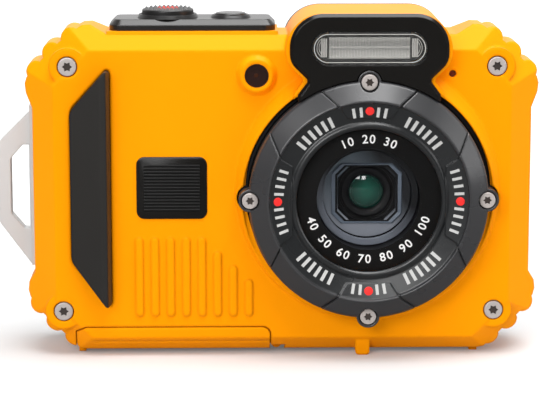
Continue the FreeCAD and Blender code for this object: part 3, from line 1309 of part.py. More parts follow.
def button_spring(x, travel):
    """Spring washer around the stem, with raised fingers that clear the cap at the end of its travel."""
    z = plate_top_z() - CAP_SINK - travel - CAP_ROOM
    rise = CAP_ROOM - SPRING_STRIP - SPRING_FREE_GAP
    inner = STEM_RADIUS + LOOSE_FIT
    washer = ring_z(x, CONTROL_Y, SPRING_OUTER_RADIUS, inner, z, z + SPRING_STRIP)
    x0 = x + inner + CLOSE_FIT
    tip_y = CONTROL_Y + SPRING_FINGER_LENGTH
    profile = [
        vec(x0, CONTROL_Y, z), vec(x0, tip_y, z + rise),
        vec(x0, tip_y, z + rise + SPRING_STRIP), vec(x0, CONTROL_Y, z + SPRING_STRIP),
    ]
    width = SPRING_OUTER_RADIUS - inner - 2 * CLOSE_FIT
    for i in range(SPRING_FINGERS):
        finger = Part.Face(Part.makePolygon(profile + [profile[0]])).extrude(vec(width, 0, 0))
        finger.rotate(vec(x, CONTROL_Y, 0), vec(0, 0, 1), 360 / SPRING_FINGERS * i)
        washer = washer.fuse(finger)
    return washer.removeSplitter()


def o_ring_z():
    return CEILING_Z + 1.6


def stem_seals():
    rings = []
    radius = STEM_RADIUS + CLOSE_FIT + O_RING_SECTION / 2
    section = O_RING_SECTION / 2 - SHANK_FIT
    for x in (SHUTTER_X, POWER_X):
        rings.append(Part.makeTorus(radius, section, vec(x, CONTROL_Y, o_ring_z()), vec(0, 0, 1)))
    return rings


def switch_top_z():
    return stem_tip_z() - max(SHUTTER_TRAVEL, POWER_TRAVEL) - SWITCH_GAP


def button_board():
    """Board under the top controls with one switch below each stem, on two legs from the ceiling."""
    top = switch_top_z() - SWITCH_HEIGHT
    x0 = SHUTTER_X - BUTTON_BOARD_MARGIN
    x1 = POWER_X + BUTTON_BOARD_MARGIN
    y0 = CONTROL_Y - BUTTON_BOARD_HALF_DEPTH
    y1 = CONTROL_Y + BUTTON_BOARD_HALF_DEPTH
    board = box(x0, x1, y0, y1, top - BUTTON_BOARD_THICKNESS, top)
    half = SWITCH_SIZE / 2
    case_top = top + SWITCH_HEIGHT - SWITCH_STUD_HEIGHT
    for x in (SHUTTER_X, POWER_X):
        board = board.fuse(box(x - half, x + half, CONTROL_Y - half, CONTROL_Y + half, top, case_top))
        board = board.fuse(rod_z(x, CONTROL_Y, SWITCH_STUD_RADIUS, top, top + SWITCH_HEIGHT))
    for x in (x0 + BOARD_LEG_INSET, x1 - BOARD_LEG_INSET):
        board = board.fuse(rod_z(x, CONTROL_Y, SWITCH_STUD_RADIUS, top, CEILING_Z))
    return board.removeSplitter()


def strap_bar():
    """Bent loop with a flange along the camera's side and two pegs through the wall."""
    inner_x = LEFT_X - STRAP_FLANGE_THICKNESS
    outer_x = LEFT_X - STRAP_REACH
    flange = box(inner_x, LEFT_X, STRAP_Y - STRAP_FLANGE_HALF_DEPTH, STRAP_Y + STRAP_FLANGE_HALF_DEPTH,
                 STRAP_BOTTOM_Z, STRAP_TOP_Z)
    upper, shoulder_top, shoulder_bottom, lower = strap_heights(STRAP_OUTLINE_INSETS)
    points = [
        (LEFT_X - EPS, lower), (LEFT_X - EPS, upper), (LEFT_X - STRAP_SHOULDER, upper),
        (outer_x, shoulder_top), (outer_x, shoulder_bottom), (LEFT_X - STRAP_SHOULDER, lower),
    ]
    y0 = STRAP_Y - STRAP_HALF_THICKNESS
    y1 = STRAP_Y + STRAP_HALF_THICKNESS
    loop = plate_xz(points, [0, 0, 0.6, 1.6, 1.6, 0.6], y0, y1)
    eye_top, eye_shoulder_top, eye_shoulder_bottom, eye_bottom = strap_heights(STRAP_EYE_INSETS)
    eye_x = outer_x + STRAP_BAND
    near_x = inner_x - STRAP_EYE_FROM_FLANGE
    eye = [
        (near_x, eye_bottom), (near_x, eye_top), (eye_x + STRAP_EYE_SLANT, eye_top),
        (eye_x, eye_shoulder_top), (eye_x, eye_shoulder_bottom), (eye_x + STRAP_EYE_SLANT, eye_bottom),
    ]
    loop = loop.cut(plate_xz(eye, [0.2, 0.2, 0.4, 0.8, 0.8, 0.4], y0 - 1, y1 + 1))
    solid = flange.fuse(loop)
    for z in strap_peg_heights():
        solid = solid.fuse(rod_x(STRAP_Y, z, STRAP_PEG_RADIUS, LEFT_X - EPS, strap_peg_end_x()))
        bore_x = strap_peg_end_x() - STRAP_SCREW_DEPTH - LOOSE_FIT
        solid = solid.cut(rod_x(STRAP_Y, z, STRAP_SCREW_RADIUS + SHANK_FIT, bore_x, FAR))
    return solid.removeSplitter()


def strap_peg_end_x():
    return LEFT_X + CAVITY_INSET_X - CLOSE_FIT


def strap_bar_screws():
    screws = []
    head_x = LEFT_X + CAVITY_INSET_X
    for z in strap_peg_heights():
        head = rod_x(STRAP_Y, z, STRAP_SCREW_HEAD_RADIUS, head_x, head_x + STRAP_SCREW_HEAD_HEIGHT)
        shank = rod_x(STRAP_Y, z, STRAP_SCREW_RADIUS, strap_peg_end_x() - STRAP_SCREW_DEPTH, head_x + EPS)
        screws.append(head.fuse(shank).removeSplitter())
    return screws


def latch_band(grow, x0, x1, z0, z1):
    half = LATCH_HALF_WIDTH + grow
    return box(x0, x1, LATCH_Y - half, LATCH_Y + half, z0, z1)


def latch_top_z():
    return BOTTOM_Z + LATCH_THICKNESS


def latch_tongue_room():
    """Pocket in the shell that takes the tongue when the door is locked."""
    reach = LATCH_LEFT_X - LATCH_TRAVEL - LOOSE_FIT
    z0 = BOTTOM_Z + 2 * LATCH_CLEAR
    return latch_band(LATCH_CLEAR, reach, DOOR_LEFT_X, z0, latch_top_z() + 2 * LATCH_CLEAR)


def door_latch():
    """Slider on the door's underside with a ribbed grip and a tongue at its left end."""
    x0 = LATCH_LEFT_X
    x1 = x0 + LATCH_LENGTH
    bar = latch_band(0, x0, x1, BOTTOM_Z + 3 * LATCH_CLEAR, latch_top_z() + LATCH_CLEAR)
    middle = (x0 + x1) / 2
    grip = latch_band(-0.3, middle - LATCH_GRIP_LENGTH / 2, middle + LATCH_GRIP_LENGTH / 2,
                      BOTTOM_Z - LATCH_GRIP_DROP, BOTTOM_Z + 3 * LATCH_CLEAR)
    return bar.fuse(grip).removeSplitter()


def battery_door():
    solid = body_envelope().common(door_solid(0))
    solid = solid.cut(rod_y(HINGE_X, HINGE_Z, KNUCKLE_RADIUS + KNUCKLE_GAP, FRONT_Y - 1, DOOR_REAR_Y + 1))
    x0, x1, y0, y1 = mouth_sides()
    inset = DOOR_SEAL_WIDTH + CLOSE_FIT
    plate_top = BOTTOM_Z + DOOR_PLATE
    plug = box(x0 + inset, x1 - inset, y0 + inset, y1 - inset, plate_top - EPS, plate_top + PLUG_HEIGHT)
    # Knuckle with the arm that joins it to the plate
    front = HINGE_Y - KNUCKLE_HALF_LENGTH
    rear = HINGE_Y + KNUCKLE_HALF_LENGTH
    knuckle = rod_y(HINGE_X, HINGE_Z, KNUCKLE_RADIUS, front, rear)
    arm = box(DOOR_RIGHT_X - HINGE_ARM_ROOT, HINGE_X, front, rear,
              HINGE_Z - HINGE_PIN_RADIUS, HINGE_Z + KNUCKLE_RADIUS)
    nub_x0 = DOOR_NUB_X - DOOR_NUB_HALF_WIDTH
    nub_x1 = DOOR_NUB_X + DOOR_NUB_HALF_WIDTH
    nub = box(nub_x0, nub_x1, DOOR_NUB_FRONT_Y, DOOR_NUB_REAR_Y,
              GROUND_Z + DOOR_NUB_LIFT, BOTTOM_Z + FOOT_ROOT)
    solid = solid.multiFuse([plug, knuckle, arm, nub])
    solid = solid.cut(rod_y(HINGE_X, HINGE_Z, HINGE_PIN_RADIUS + SHANK_FIT, -FAR, FAR))
    # Groove of the latch, open at the left end, narrower at its mouth
    groove_x1 = LATCH_LEFT_X + LATCH_LENGTH + LATCH_CLEAR
    solid = solid.cut(latch_band(LATCH_CLEAR, DOOR_LEFT_X - 1, groove_x1, BOTTOM_Z + 2 * LATCH_CLEAR,
                                 latch_top_z() + 2 * LATCH_CLEAR))
    middle = LATCH_LEFT_X + LATCH_LENGTH / 2
    slot = latch_band(LATCH_CLEAR - 0.3, middle - LATCH_GRIP_LENGTH / 2 - LATCH_TRAVEL - LATCH_CLEAR,
                      middle + LATCH_GRIP_LENGTH / 2 + LATCH_CLEAR, BOTTOM_Z - 1, BOTTOM_Z + 1)
    return solid.cut(slot).removeSplitter()


def door_seal():
    x0, x1, y0, y1 = mouth_sides()
    fit = CLOSE_FIT
    inset = DOOR_SEAL_WIDTH + CLOSE_FIT
    z0 = BOTTOM_Z + DOOR_PLATE
    outer = box(x0 + fit, x1 - fit, y0 + fit, y1 - fit, z0, z0 + DOOR_SEAL_HEIGHT)
    return outer.cut(box(x0 + inset, x1 - inset, y0 + inset, y1 - inset, z0 - 1, z0 + 2))


def door_hinge_pin():
    half = KNUCKLE_HALF_LENGTH + KNUCKLE_GAP + SHELL_KNUCKLE_LENGTH
    return rod_y(HINGE_X, HINGE_Z, HINGE_PIN_RADIUS, HINGE_Y - half, HINGE_Y + half)


def battery_box_block():
    half = BATTERY_WIDTH / 2 + BOX_FIT + BOX_WALL
    top = BATTERY_BOTTOM_Z + BATTERY_HEIGHT + BOX_FIT + BOX_WALL
    return box(BATTERY_X - half, BATTERY_X + half, INNER_FRONT_Y, box_rear_y(), FLOOR_Z, top)


def battery_box():
    half = BATTERY_WIDTH / 2 + BOX_FIT
    front = BATTERY_Y - BATTERY_DEPTH / 2 - BOX_FIT
    rear = BATTERY_Y + BATTERY_DEPTH / 2 + BOX_FIT
    top = BATTERY_BOTTOM_Z + BATTERY_HEIGHT + BOX_FIT
    return battery_box_block().cut(box(BATTERY_X - half, BATTERY_X + half, front, rear, FLOOR_Z - 1, top))


def box_rear_y():
    return BATTERY_Y + BATTERY_DEPTH / 2 + BOX_FIT + BOX_WALL


def battery():
    half = BATTERY_WIDTH / 2
    y0 = BATTERY_Y - BATTERY_DEPTH / 2
    y1 = BATTERY_Y + BATTERY_DEPTH / 2
    top = BATTERY_BOTTOM_Z + BATTERY_HEIGHT
    solid = box(BATTERY_X - half, BATTERY_X + half, y0, y1, BATTERY_BOTTOM_Z, top)
    uprights = [e for e in solid.Edges if abs(e.Vertexes[0].Z - e.Vertexes[1].Z) > BATTERY_HEIGHT / 2]
    return solid.makeFillet(BATTERY_EDGE_RADIUS, uprights)


def card_socket():
    y0 = box_rear_y()
    half = CARD_WIDTH / 2 + CARD_SOCKET_WALL
    z0 = FLOOR_Z + SOCKET_FLOOR_GAP
    depth = CARD_THICKNESS + 2 * CARD_SOCKET_WALL
    outer = box(CARD_X - half, CARD_X + half, y0, y0 + depth, z0, z0 + CARD_LENGTH)
    half = CARD_WIDTH / 2 + CARD_ROOM
    wall = CARD_SOCKET_WALL - CARD_ROOM
    slot_top = z0 + CARD_LENGTH - CARD_END_WALL
    return outer.cut(box(CARD_X - half, CARD_X + half, y0 + wall, y0 + depth - wall, z0 - 1, slot_top))


def memory_card():
    y0 = box_rear_y() + CARD_SOCKET_WALL
    top = FLOOR_Z + SOCKET_FLOOR_GAP + CARD_LENGTH - CARD_END_WALL - CLOSE_FIT
    half = CARD_WIDTH / 2
    return box(CARD_X - half, CARD_X + half, y0, y0 + CARD_THICKNESS, top - CARD_LENGTH, top)


def usb_socket():
    y0 = box_rear_y()
    z0 = FLOOR_Z + SOCKET_FLOOR_GAP
    half = USB_WIDTH / 2
    outer = box(USB_X - half, USB_X + half, y0, y0 + USB_DEPTH, z0, z0 + USB_HEIGHT)
    inner = box(USB_X - half + USB_WALL, USB_X + half - USB_WALL, y0 + USB_WALL, y0 + USB_DEPTH - USB_WALL,
                z0 - 1, z0 + USB_HEIGHT - USB_WALL)
    middle = y0 + USB_DEPTH / 2
    tongue_top = z0 + USB_HEIGHT - USB_WALL + EPS
    tongue = box(USB_X - half / 2, USB_X + half / 2, middle - USB_TONGUE / 2, middle + USB_TONGUE / 2,
                 z0 + 2 * USB_WALL, tongue_top)
    return outer.cut(inner).fuse(tongue).removeSplitter()


def tripod_socket():
    top = BOTTOM_Z + TRIPOD_HOLE_DEPTH + TRIPOD_INSERT_CAP
    insert = rod_z(TRIPOD_X, TRIPOD_Y, TRIPOD_INSERT_RADIUS, BOTTOM_Z, top)
    hole_top = BOTTOM_Z + TRIPOD_HOLE_DEPTH
    return insert.cut(rod_z(TRIPOD_X, TRIPOD_Y, TRIPOD_HOLE_RADIUS, BOTTOM_Z - 1, hole_top))


def inner_chassis():
    """Stiffening plate with standoffs for the main board and a window behind the image sensor."""
    half_w = BODY_HALF_WIDTH - CAVITY_INSET_X - CHASSIS_MARGIN
    half_h = BODY_HALF_HEIGHT - CAVITY_INSET_Z - CHASSIS_MARGIN
    plate = octagon_block(half_w, half_h, CAVITY_CUT, CHASSIS_Y, CHASSIS_Y + CHASSIS_THICKNESS)
    back = CHASSIS_Y + CHASSIS_THICKNESS
    for x in (MAIN_BOARD_LEFT_X + STANDOFF_INSET, MAIN_BOARD_RIGHT_X - STANDOFF_INSET):
        for z in (MAIN_BOARD_BOTTOM_Z + STANDOFF_INSET, MAIN_BOARD_TOP_Z - STANDOFF_INSET):
            plate = plate.fuse(rod_y(x, z, STANDOFF_RADIUS, back - EPS, back + STANDOFF))
    for x, z in chassis_post_places():
        plate = plate.cut(rod_y(x, z, CHASSIS_SCREW_RADIUS + CLOSE_FIT, CHASSIS_Y - 1, back + 1))
    half_w = SENSOR_WINDOW_HALF_WIDTH
    half_h = SENSOR_WINDOW_HALF_HEIGHT
    window = box(LENS_X - half_w, LENS_X + half_w, CHASSIS_Y - 1, back + 1, LENS_Z - half_h, LENS_Z + half_h)
    return plate.cut(window).removeSplitter()


def chassis_screws():
    seat = CHASSIS_Y + CHASSIS_THICKNESS
    screws = []
    for x, z in chassis_post_places():
        head = rod_y(x, z, CHASSIS_SCREW_HEAD_RADIUS, seat, seat + CHASSIS_SCREW_HEAD_HEIGHT)
        shank = rod_y(x, z, CHASSIS_SCREW_RADIUS, CHASSIS_Y - CHASSIS_SCREW_GRIP, seat + EPS)
        screws.append(head.fuse(shank).removeSplitter())
    return screws


def main_board():
    """Main board with its processor and memory chips."""
    y0 = CHASSIS_Y + CHASSIS_THICKNESS + STANDOFF
    y1 = y0 + BOARD_THICKNESS
    board = box(MAIN_BOARD_LEFT_X, MAIN_BOARD_RIGHT_X, y0, y1, MAIN_BOARD_BOTTOM_Z, MAIN_BOARD_TOP_Z)
    for x, above_middle, width, height in CHIPS:
        z0 = BODY_Z + above_middle - height / 2
        board = board.fuse(box(x - width / 2, x + width / 2, y1 - EPS, y1 + CHIP_HEIGHT, z0, z0 + height))
    return board.removeSplitter()


def screen_window():
    front = REAR_Y - SCREEN_SINK - SCREEN_GLASS
    return rear_window_box(0, front, REAR_Y - SCREEN_SINK)


def screen_module():
    """Display panel that lies against the inside of the rear shell, with a raised image area."""
    back = INNER_REAR_Y
    panel = rear_window_box(0.2, back - SCREEN_MODULE_THICKNESS, back)
    image = rear_window_box(SCREEN_LEDGE + 0.3, back - EPS, REAR_Y - SCREEN_SINK - SCREEN_GLASS)
    return panel.fuse(image).removeSplitter()


def round_key(x, z, radius):
    """Key cap with a flange behind the rear wall."""
    front = REAR_Y + KEY_PROUD
    flange_y = INNER_REAR_Y - KEY_FLANGE_THICKNESS
    cap = rod_y(x, z, radius, flange_y, front)
    edge = [e for e in cap.Edges if len(e.Vertexes) == 1 and abs(e.Vertexes[0].Y - front) < EPS]
    cap = cap.makeFillet(0.3, edge)
    return cap.fuse(rod_y(x, z, radius + KEY_FLANGE, flange_y, INNER_REAR_Y - 0.05)).removeSplitter()


def zoom_rocker():
    """Rocker that tips about an upright line behind its middle."""
    front = REAR_Y + ROCKER_PROUD
    cap = rocker_plate(0, INNER_REAR_Y - 0.2, front)
    rim = [e for e in cap.Edges if all(abs(v.Y - front) < EPS for v in e.Vertexes)]
    cap = cap.makeChamfer(ROCKER_BEVEL, rim)
    dip_y = front + ROCKER_DIP_RADIUS - ROCKER_DIP_DEPTH
    dip = rod_z(ROCKER_X, dip_y, ROCKER_DIP_RADIUS, UPPER_KEYS_Z - FAR, UPPER_KEYS_Z + FAR)
    cap = cap.cut(dip)
    half = ROCKER_HALF_HEIGHT - ROCKER_BEVEL
    post = rod_z(ROCKER_X, rocker_axis_y(), ROCKER_POST_RADIUS, UPPER_KEYS_Z - half, UPPER_KEYS_Z + half)
    return cap.fuse(post).removeSplitter()


def rocker_axis_y():
    return INNER_REAR_Y - 0.6


def nav_pad():
    """Four-way pad around the centre key."""
    front = REAR_Y + KEY_PROUD
    ring = ring_y(KEY_COLUMN_X, NAV_Z, NAV_OUTER_RADIUS, NAV_INNER_RADIUS, INNER_REAR_Y - 0.2, front)
    edge = [e for e in ring.Edges if len(e.Vertexes) == 1 and abs(e.Vertexes[0].Y - front) < EPS]
    return ring.makeFillet(0.3, edge)


def nav_gimbal():
    """Carrier ring inside the pad, which lets it tip both ways."""
    return ring_y(KEY_COLUMN_X, NAV_Z, GIMBAL_RADIUS, GIMBAL_RADIUS - GIMBAL_WALL, INNER_REAR_Y - 0.2, REAR_Y)


def key_board():
    """Board behind the rear keys with a dome switch under each, on posts from the rear wall."""
    y1 = KEY_BOARD_Y + KEY_BOARD_THICKNESS
    x0 = LEFT_X + CAVITY_INSET_X + CHASSIS_MARGIN
    x1 = SCREEN_LEFT_X - 1.0
    board = box(x0, x1, KEY_BOARD_Y, y1, LOWER_KEYS_Z - KEY_BOARD_BELOW, UPPER_KEYS_Z + KEY_BOARD_ABOVE)
    half_w = BODY_HALF_WIDTH - CAVITY_INSET_X - CHASSIS_MARGIN
    half_h = BODY_HALF_HEIGHT - CAVITY_INSET_Z - CHASSIS_MARGIN
    board = board.common(octagon_block(half_w, half_h, CAVITY_CUT, KEY_BOARD_Y, y1))
    for name, x, z, radius in round_keys():
        board = board.fuse(rod_y(x, z, DOME_RADIUS, y1 - EPS, y1 + DOME_HEIGHT))
    arm = (NAV_OUTER_RADIUS + NAV_INNER_RADIUS) / 2
    for dx, dz in ((1, 0), (0, 1), (-1, 0), (0, -1)):
        x = KEY_COLUMN_X + arm * dx
        z = NAV_Z + arm * dz
        board = board.fuse(rod_y(x, z, DOME_RADIUS, y1 - EPS, y1 + DOME_HEIGHT))
    for z in (LOWER_KEYS_Z + KEY_POST_OFFSET, UPPER_KEYS_Z - KEY_POST_OFFSET):
        for x in (x0 + KEY_POST_INSET_LEFT, x1 - KEY_POST_INSET_RIGHT):
            board = board.fuse(rod_y(x, z, KEY_POST_RADIUS, y1 - EPS, INNER_REAR_Y))
    return board.removeSplitter()


def indicator_lamp():
    radius = INDICATOR_RADIUS - SHANK_FIT
    return rod_y(INDICATOR_X, UPPER_KEYS_Z, radius, KEY_BOARD_Y + KEY_BOARD_THICKNESS, REAR_Y - 0.1)


def speaker():
    return rod_y(SPEAKER_X, SPEAKER_Z, SPEAKER_RADIUS, INNER_REAR_Y - SPEAKER_THICKNESS, INNER_REAR_Y)


def build_all():
    save("front_shell", front_shell())
    save("rear_shell", rear_shell())
    save("housing_seal", housing_seal())
    save("housing_screws", *housing_screws())
    save("inner_chassis", inner_chassis())
    save("chassis_screws", *chassis_screws())
    save("flash_fascia", flash_fascia())
    save("bezel_ring", bezel_ring())
    save("bezel_screws", *bezel_screws())
    save("lens_window", lens_window())
    save("lens_window_seal", lens_window_seal())
    save("lens_mask", lens_mask())
    save("lens_tube", lens_tube())
    save("cam_ring", cam_ring())
    save("zoom_barrel", zoom_barrel())
    save("inner_barrel", inner_barrel())
    save("front_lens", front_lens())
    save("rear_lens", rear_lens())
    save("image_sensor", image_sensor())
    save("zoom_motor", zoom_motor())
    save("flash_window", flash_window())
    save("flash_reflector", flash_reflector())
    save("flash_tube", flash_tube())
    save("flash_capacitor", flash_capacitor())
    save("assist_lamp_lens", assist_lamp_lens())
    save("assist_lamp_led", assist_lamp_led())
    save("microphone", microphone())
    save("grip_pad", grip_pad())
    save("top_plate", top_plate())
    save("button_collars", *button_collars())
    save("shutter_button", push_button(SHUTTER_X, SHUTTER_RADIUS, SHUTTER_PROUD))
    save("power_button", push_button(POWER_X, POWER_RADIUS, POWER_PROUD))
    save("button_springs", button_spring(SHUTTER_X, SHUTTER_TRAVEL), button_spring(POWER_X, POWER_TRAVEL))
    save("stem_seals", *stem_seals())
    save("button_board", button_board())
    save("strap_bar", strap_bar())
    save("strap_bar_screws", *strap_bar_screws())
    save("battery_door", battery_door())
    save("door_seal", door_seal())
    save("door_hinge_pin", door_hinge_pin())
    save("door_latch", door_latch())
    save("battery_box", battery_box())
    save("battery", battery())
    save("card_socket", card_socket())
    save("memory_card", memory_card())
    save("usb_socket", usb_socket())
    save("tripod_socket", tripod_socket())
    save("main_board", main_board())
    save("screen_window", screen_window())
    save("screen_module", screen_module())
    for name, x, z, radius in round_keys():
        save(name, round_key(x, z, radius))
    save("zoom_rocker", zoom_rocker())
    save("nav_pad", nav_pad())
    save("nav_gimbal", nav_gimbal())
    save("key_board", key_board())
    save("indicator_lamp", indicator_lamp())
    save("speaker", speaker())


def write_all():
    os.makedirs("parts", exist_ok=True)
    for name, solids in NODES.items():
        shape = solids[0] if len(solids) == 1 else Part.makeCompound(solids)
        count = len(shape.Solids)
        if count != len(solids) or not shape.isValid():
            raise RuntimeError(f"{name}: {count} solids from {len(solids)}, valid {shape.isValid()}")
        shape.exportStep(f"parts/{name}.step")
    print(len(NODES), "nodes written")


build_all()
write_all()
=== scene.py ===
import math

import bmesh
import bpy
from mathutils import Matrix, Vector


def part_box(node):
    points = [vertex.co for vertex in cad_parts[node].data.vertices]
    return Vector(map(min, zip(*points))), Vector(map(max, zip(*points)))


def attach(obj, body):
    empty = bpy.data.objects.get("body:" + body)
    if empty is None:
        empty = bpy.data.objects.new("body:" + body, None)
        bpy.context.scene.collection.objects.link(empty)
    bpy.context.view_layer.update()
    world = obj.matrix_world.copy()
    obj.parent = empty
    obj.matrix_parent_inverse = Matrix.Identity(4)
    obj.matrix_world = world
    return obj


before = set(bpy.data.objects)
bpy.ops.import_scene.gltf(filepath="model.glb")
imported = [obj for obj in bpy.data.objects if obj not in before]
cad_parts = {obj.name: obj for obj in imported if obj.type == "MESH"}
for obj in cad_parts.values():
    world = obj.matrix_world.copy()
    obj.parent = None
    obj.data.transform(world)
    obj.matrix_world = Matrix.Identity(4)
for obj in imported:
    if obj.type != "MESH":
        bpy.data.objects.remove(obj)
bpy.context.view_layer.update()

MM = 0.001

# The photograph's frame and camera
IMAGE_WIDTH = 556
FOCAL_PX = 2289.6
SENSOR = 36
CAMERA_PLACE = (-6.5, -460.9, 112.5)
CAMERA_PITCH = math.radians(10.284)
CAMERA_YAW = math.radians(-1.05)

# Places of the CAD model that the added pieces lie on, in mm
FRONT_Y = -8.2
BODY_LEFT_X = -47.45
BUTTON_Y = 1.9
LENS_X = 19.75
LENS_Z = 32.95
WINDOW_BACK_Y = -11.9
RING_RADIUS = 23.9
EAR_RADIUS = 2.3
EAR_PITCH_RADIUS = 23.6
CHANNEL_INNER = (15.9, -13.9)
CHANNEL_OUTER = (19.7, -14.8)
PLATFORM_RISE = 0.4
FLASH_RIM = 0.8
SKIN = 0.03

# Ticks on the bezel: centres and offsets in degrees, inner and outer radius, width, rise of the face below
TICK_PITCH = 4.9
TICK_GROUPS = (
    ((52, 128, 232, 308), [(i - 2.5) * TICK_PITCH for i in range(6)], 16.3, 18.6, 0.66, 0),
    ((0, 180), [side * i * TICK_PITCH for i in range(1, 5) for side in (-1, 1)], 17.0, 18.9, 0.55,
     PLATFORM_RISE),
    ((90, 270), (-5.4, 5.4, -10.0, 10.0), 16.9, 18.9, 0.6, PLATFORM_RISE),
)
TICK_HEIGHT = 0.07
DOT_RADIUS_OUT = 18.1
DOT_SECTION = [(0.001, -0.09), (0.72, -0.09), (0.86, -0.03), (0.9, 0.06), (0.001, 0.06)]
# Black strip painted as shade in the gap round the bezel ring and its ears, wider above the lens
GAP_SHADE_STEPS = 1440
GAP_SHADE_THIN = (0.12, -8.25, -9.1)
GAP_SHADE_GROWTH = (0.93, -1.12, -1.0)
GAP_SHADE_EAR_WIDTH = 0.3
GAP_SHADE_CROWN = 0.25
STRAP_GASKET_EDGE = 0.08

# Print behind the window
FIGURE_SIZE = 1.75
FIGURE_FONT_SCALE = 1.38
FIGURE_SPACING = 0.78
FIGURE_WEIGHT = 0.035
FIGURE_LIFT = 0.06
PRINT_RADII = (10.3, 14.6)
PRINT_LIFTS = (0.03, 0.05)
UPPER_FIGURES = ("10 20 30", 11.3)
LOWER_FIGURES = ("40 50 60 70 80 90 100", 11.2)

# Sections of the rings in the lens, as (radius, y)
RETAINER_SECTION = [(3.5, -2.72), (3.5, -2.95), (3.8, -3.3), (4.2, -3.42), (4.9, -3.46), (5.25, -3.2),
                    (5.25, -2.4), (5.0, -2.2)]
FUNNEL_STEPS = 3
FUNNEL_RADIUS = 7.4
FUNNEL_NARROWING = 0.62
FUNNEL_FRONT_Y = -3.92
FUNNEL_DEEPENING = 0.16
COLLAR_SECTION = [(8.95, -6.3), (8.95, -6.75), (9.1, -6.9), (10.25, -6.9), (10.4, -6.75), (10.4, -6.3)]

# Badge plate's left, right, bottom and top, in mm
BADGE = (-26.6, -12.4, 28.4, 41.0)
BADGE_CORNER = 1.6
BADGE_FRAME = 1.5
BADGE_ROWS = 15
BADGE_PROUD = 0.3
BADGE_SUNK = 0.1
BADGE_BEVEL = 0.18
GROOVE_FOOT = 0.05
GROOVE_CREST = 0.16
GROOVE_RISE = 0.07

# Dark stars painted as shade in the star sockets of the screws: share of the head's radius in each node, waist,
# and depths behind the head
STAR_SHARES = (("housing_screws", 0.58), ("bezel_screws", 0.62))
STAR_WAIST = 0.72
STAR_DEPTHS = (0.30, 0.75)
HEAD_DEPTH = 0.3
HEAD_REACH = 6

# Rings on the focus lamp's cover: radius, width, lift
LAMP_RINGS = ((1.75, 0.16, 0.05), (1.05, 0.14, 0.07))

# Flash: half width of the bright field, ribs over it, bars and arcs at both ends, rim painted as a highlight,
# dark strips (place and half height) and bright lines (place and half height)
FLASH_FIELD = 8.0
FLASH_FINE_RIBS = 54
FLASH_BAR_OFFSETS = (8.55, 8.97, 9.39)
FLASH_BAR_WIDTH = 0.42
FLASH_ARC_RADII = (1.75, 2.15)
FLASH_ARC_WIDTH = 0.12
FLASH_HIGHLIGHT_GROWTH = (0.40, 0.24)
FLASH_STRIP = (2.385, 0.245)
FLASH_LINES = ((1.98, 0.15), (0.12, 0.13), (-1.98, 0.16))

# Teeth on the shutter button
TEETH_PITCH = 0.86
TEETH_COUNT = 11
TEETH_REACH = 4.45
RED_REACH = 2.3
TOOTH_GAP = 0.02
TOOTH_FLAT = 0.08
TOOTH_FOOT = 0.04
TOOTH_RISE = 0.36

# Studio: floor's tones, its glow for the camera with distance in metres, and the tones of the world
FLOOR_TONES = ((0.55, 0.55, 0.55), (0.57, 0.57, 0.57))
FLOOR_MIRRORED = (0.10, 0.10, 0.10, 1)
FLOOR_GLOW = (0.12, 0.95, 0.07, 0.9)
FLOOR_HALF = 4.0
WORLD_LIGHT = (0.5, 1.0, 0, 1)
WORLD_MIRRORED = (0.10, 0.95, 0.0, 0.6)

# Lights: place and target in metres, size, power
LIGHTS = {
    "top_softbox": ((0.12, -0.07, 0.75), (0, 0, 0.03), (0.8, 0.6), 10.0),
    "glint_panel": ((0.0, -1.0, 0.32), (0, 0, 0.03), (0.12, 0.12), 0.5),
    "front_softbox": ((-0.45, -1.0, 0.55), (0, 0, 0.03), (0.7, 0.5), 8.0),
    "right_strip": ((0.8, -0.3, 0.35), (0, 0, 0.04), (0.25, 0.6), 1.2),
}

# Noise scales and how far the gloss varies
MOTTLE_SCALE = 70
SMEAR_SCALE = 120
CLOUD_SCALE = 3
GLOSS_SPREAD = 0.02
SMEAR_SPREAD = 0.04

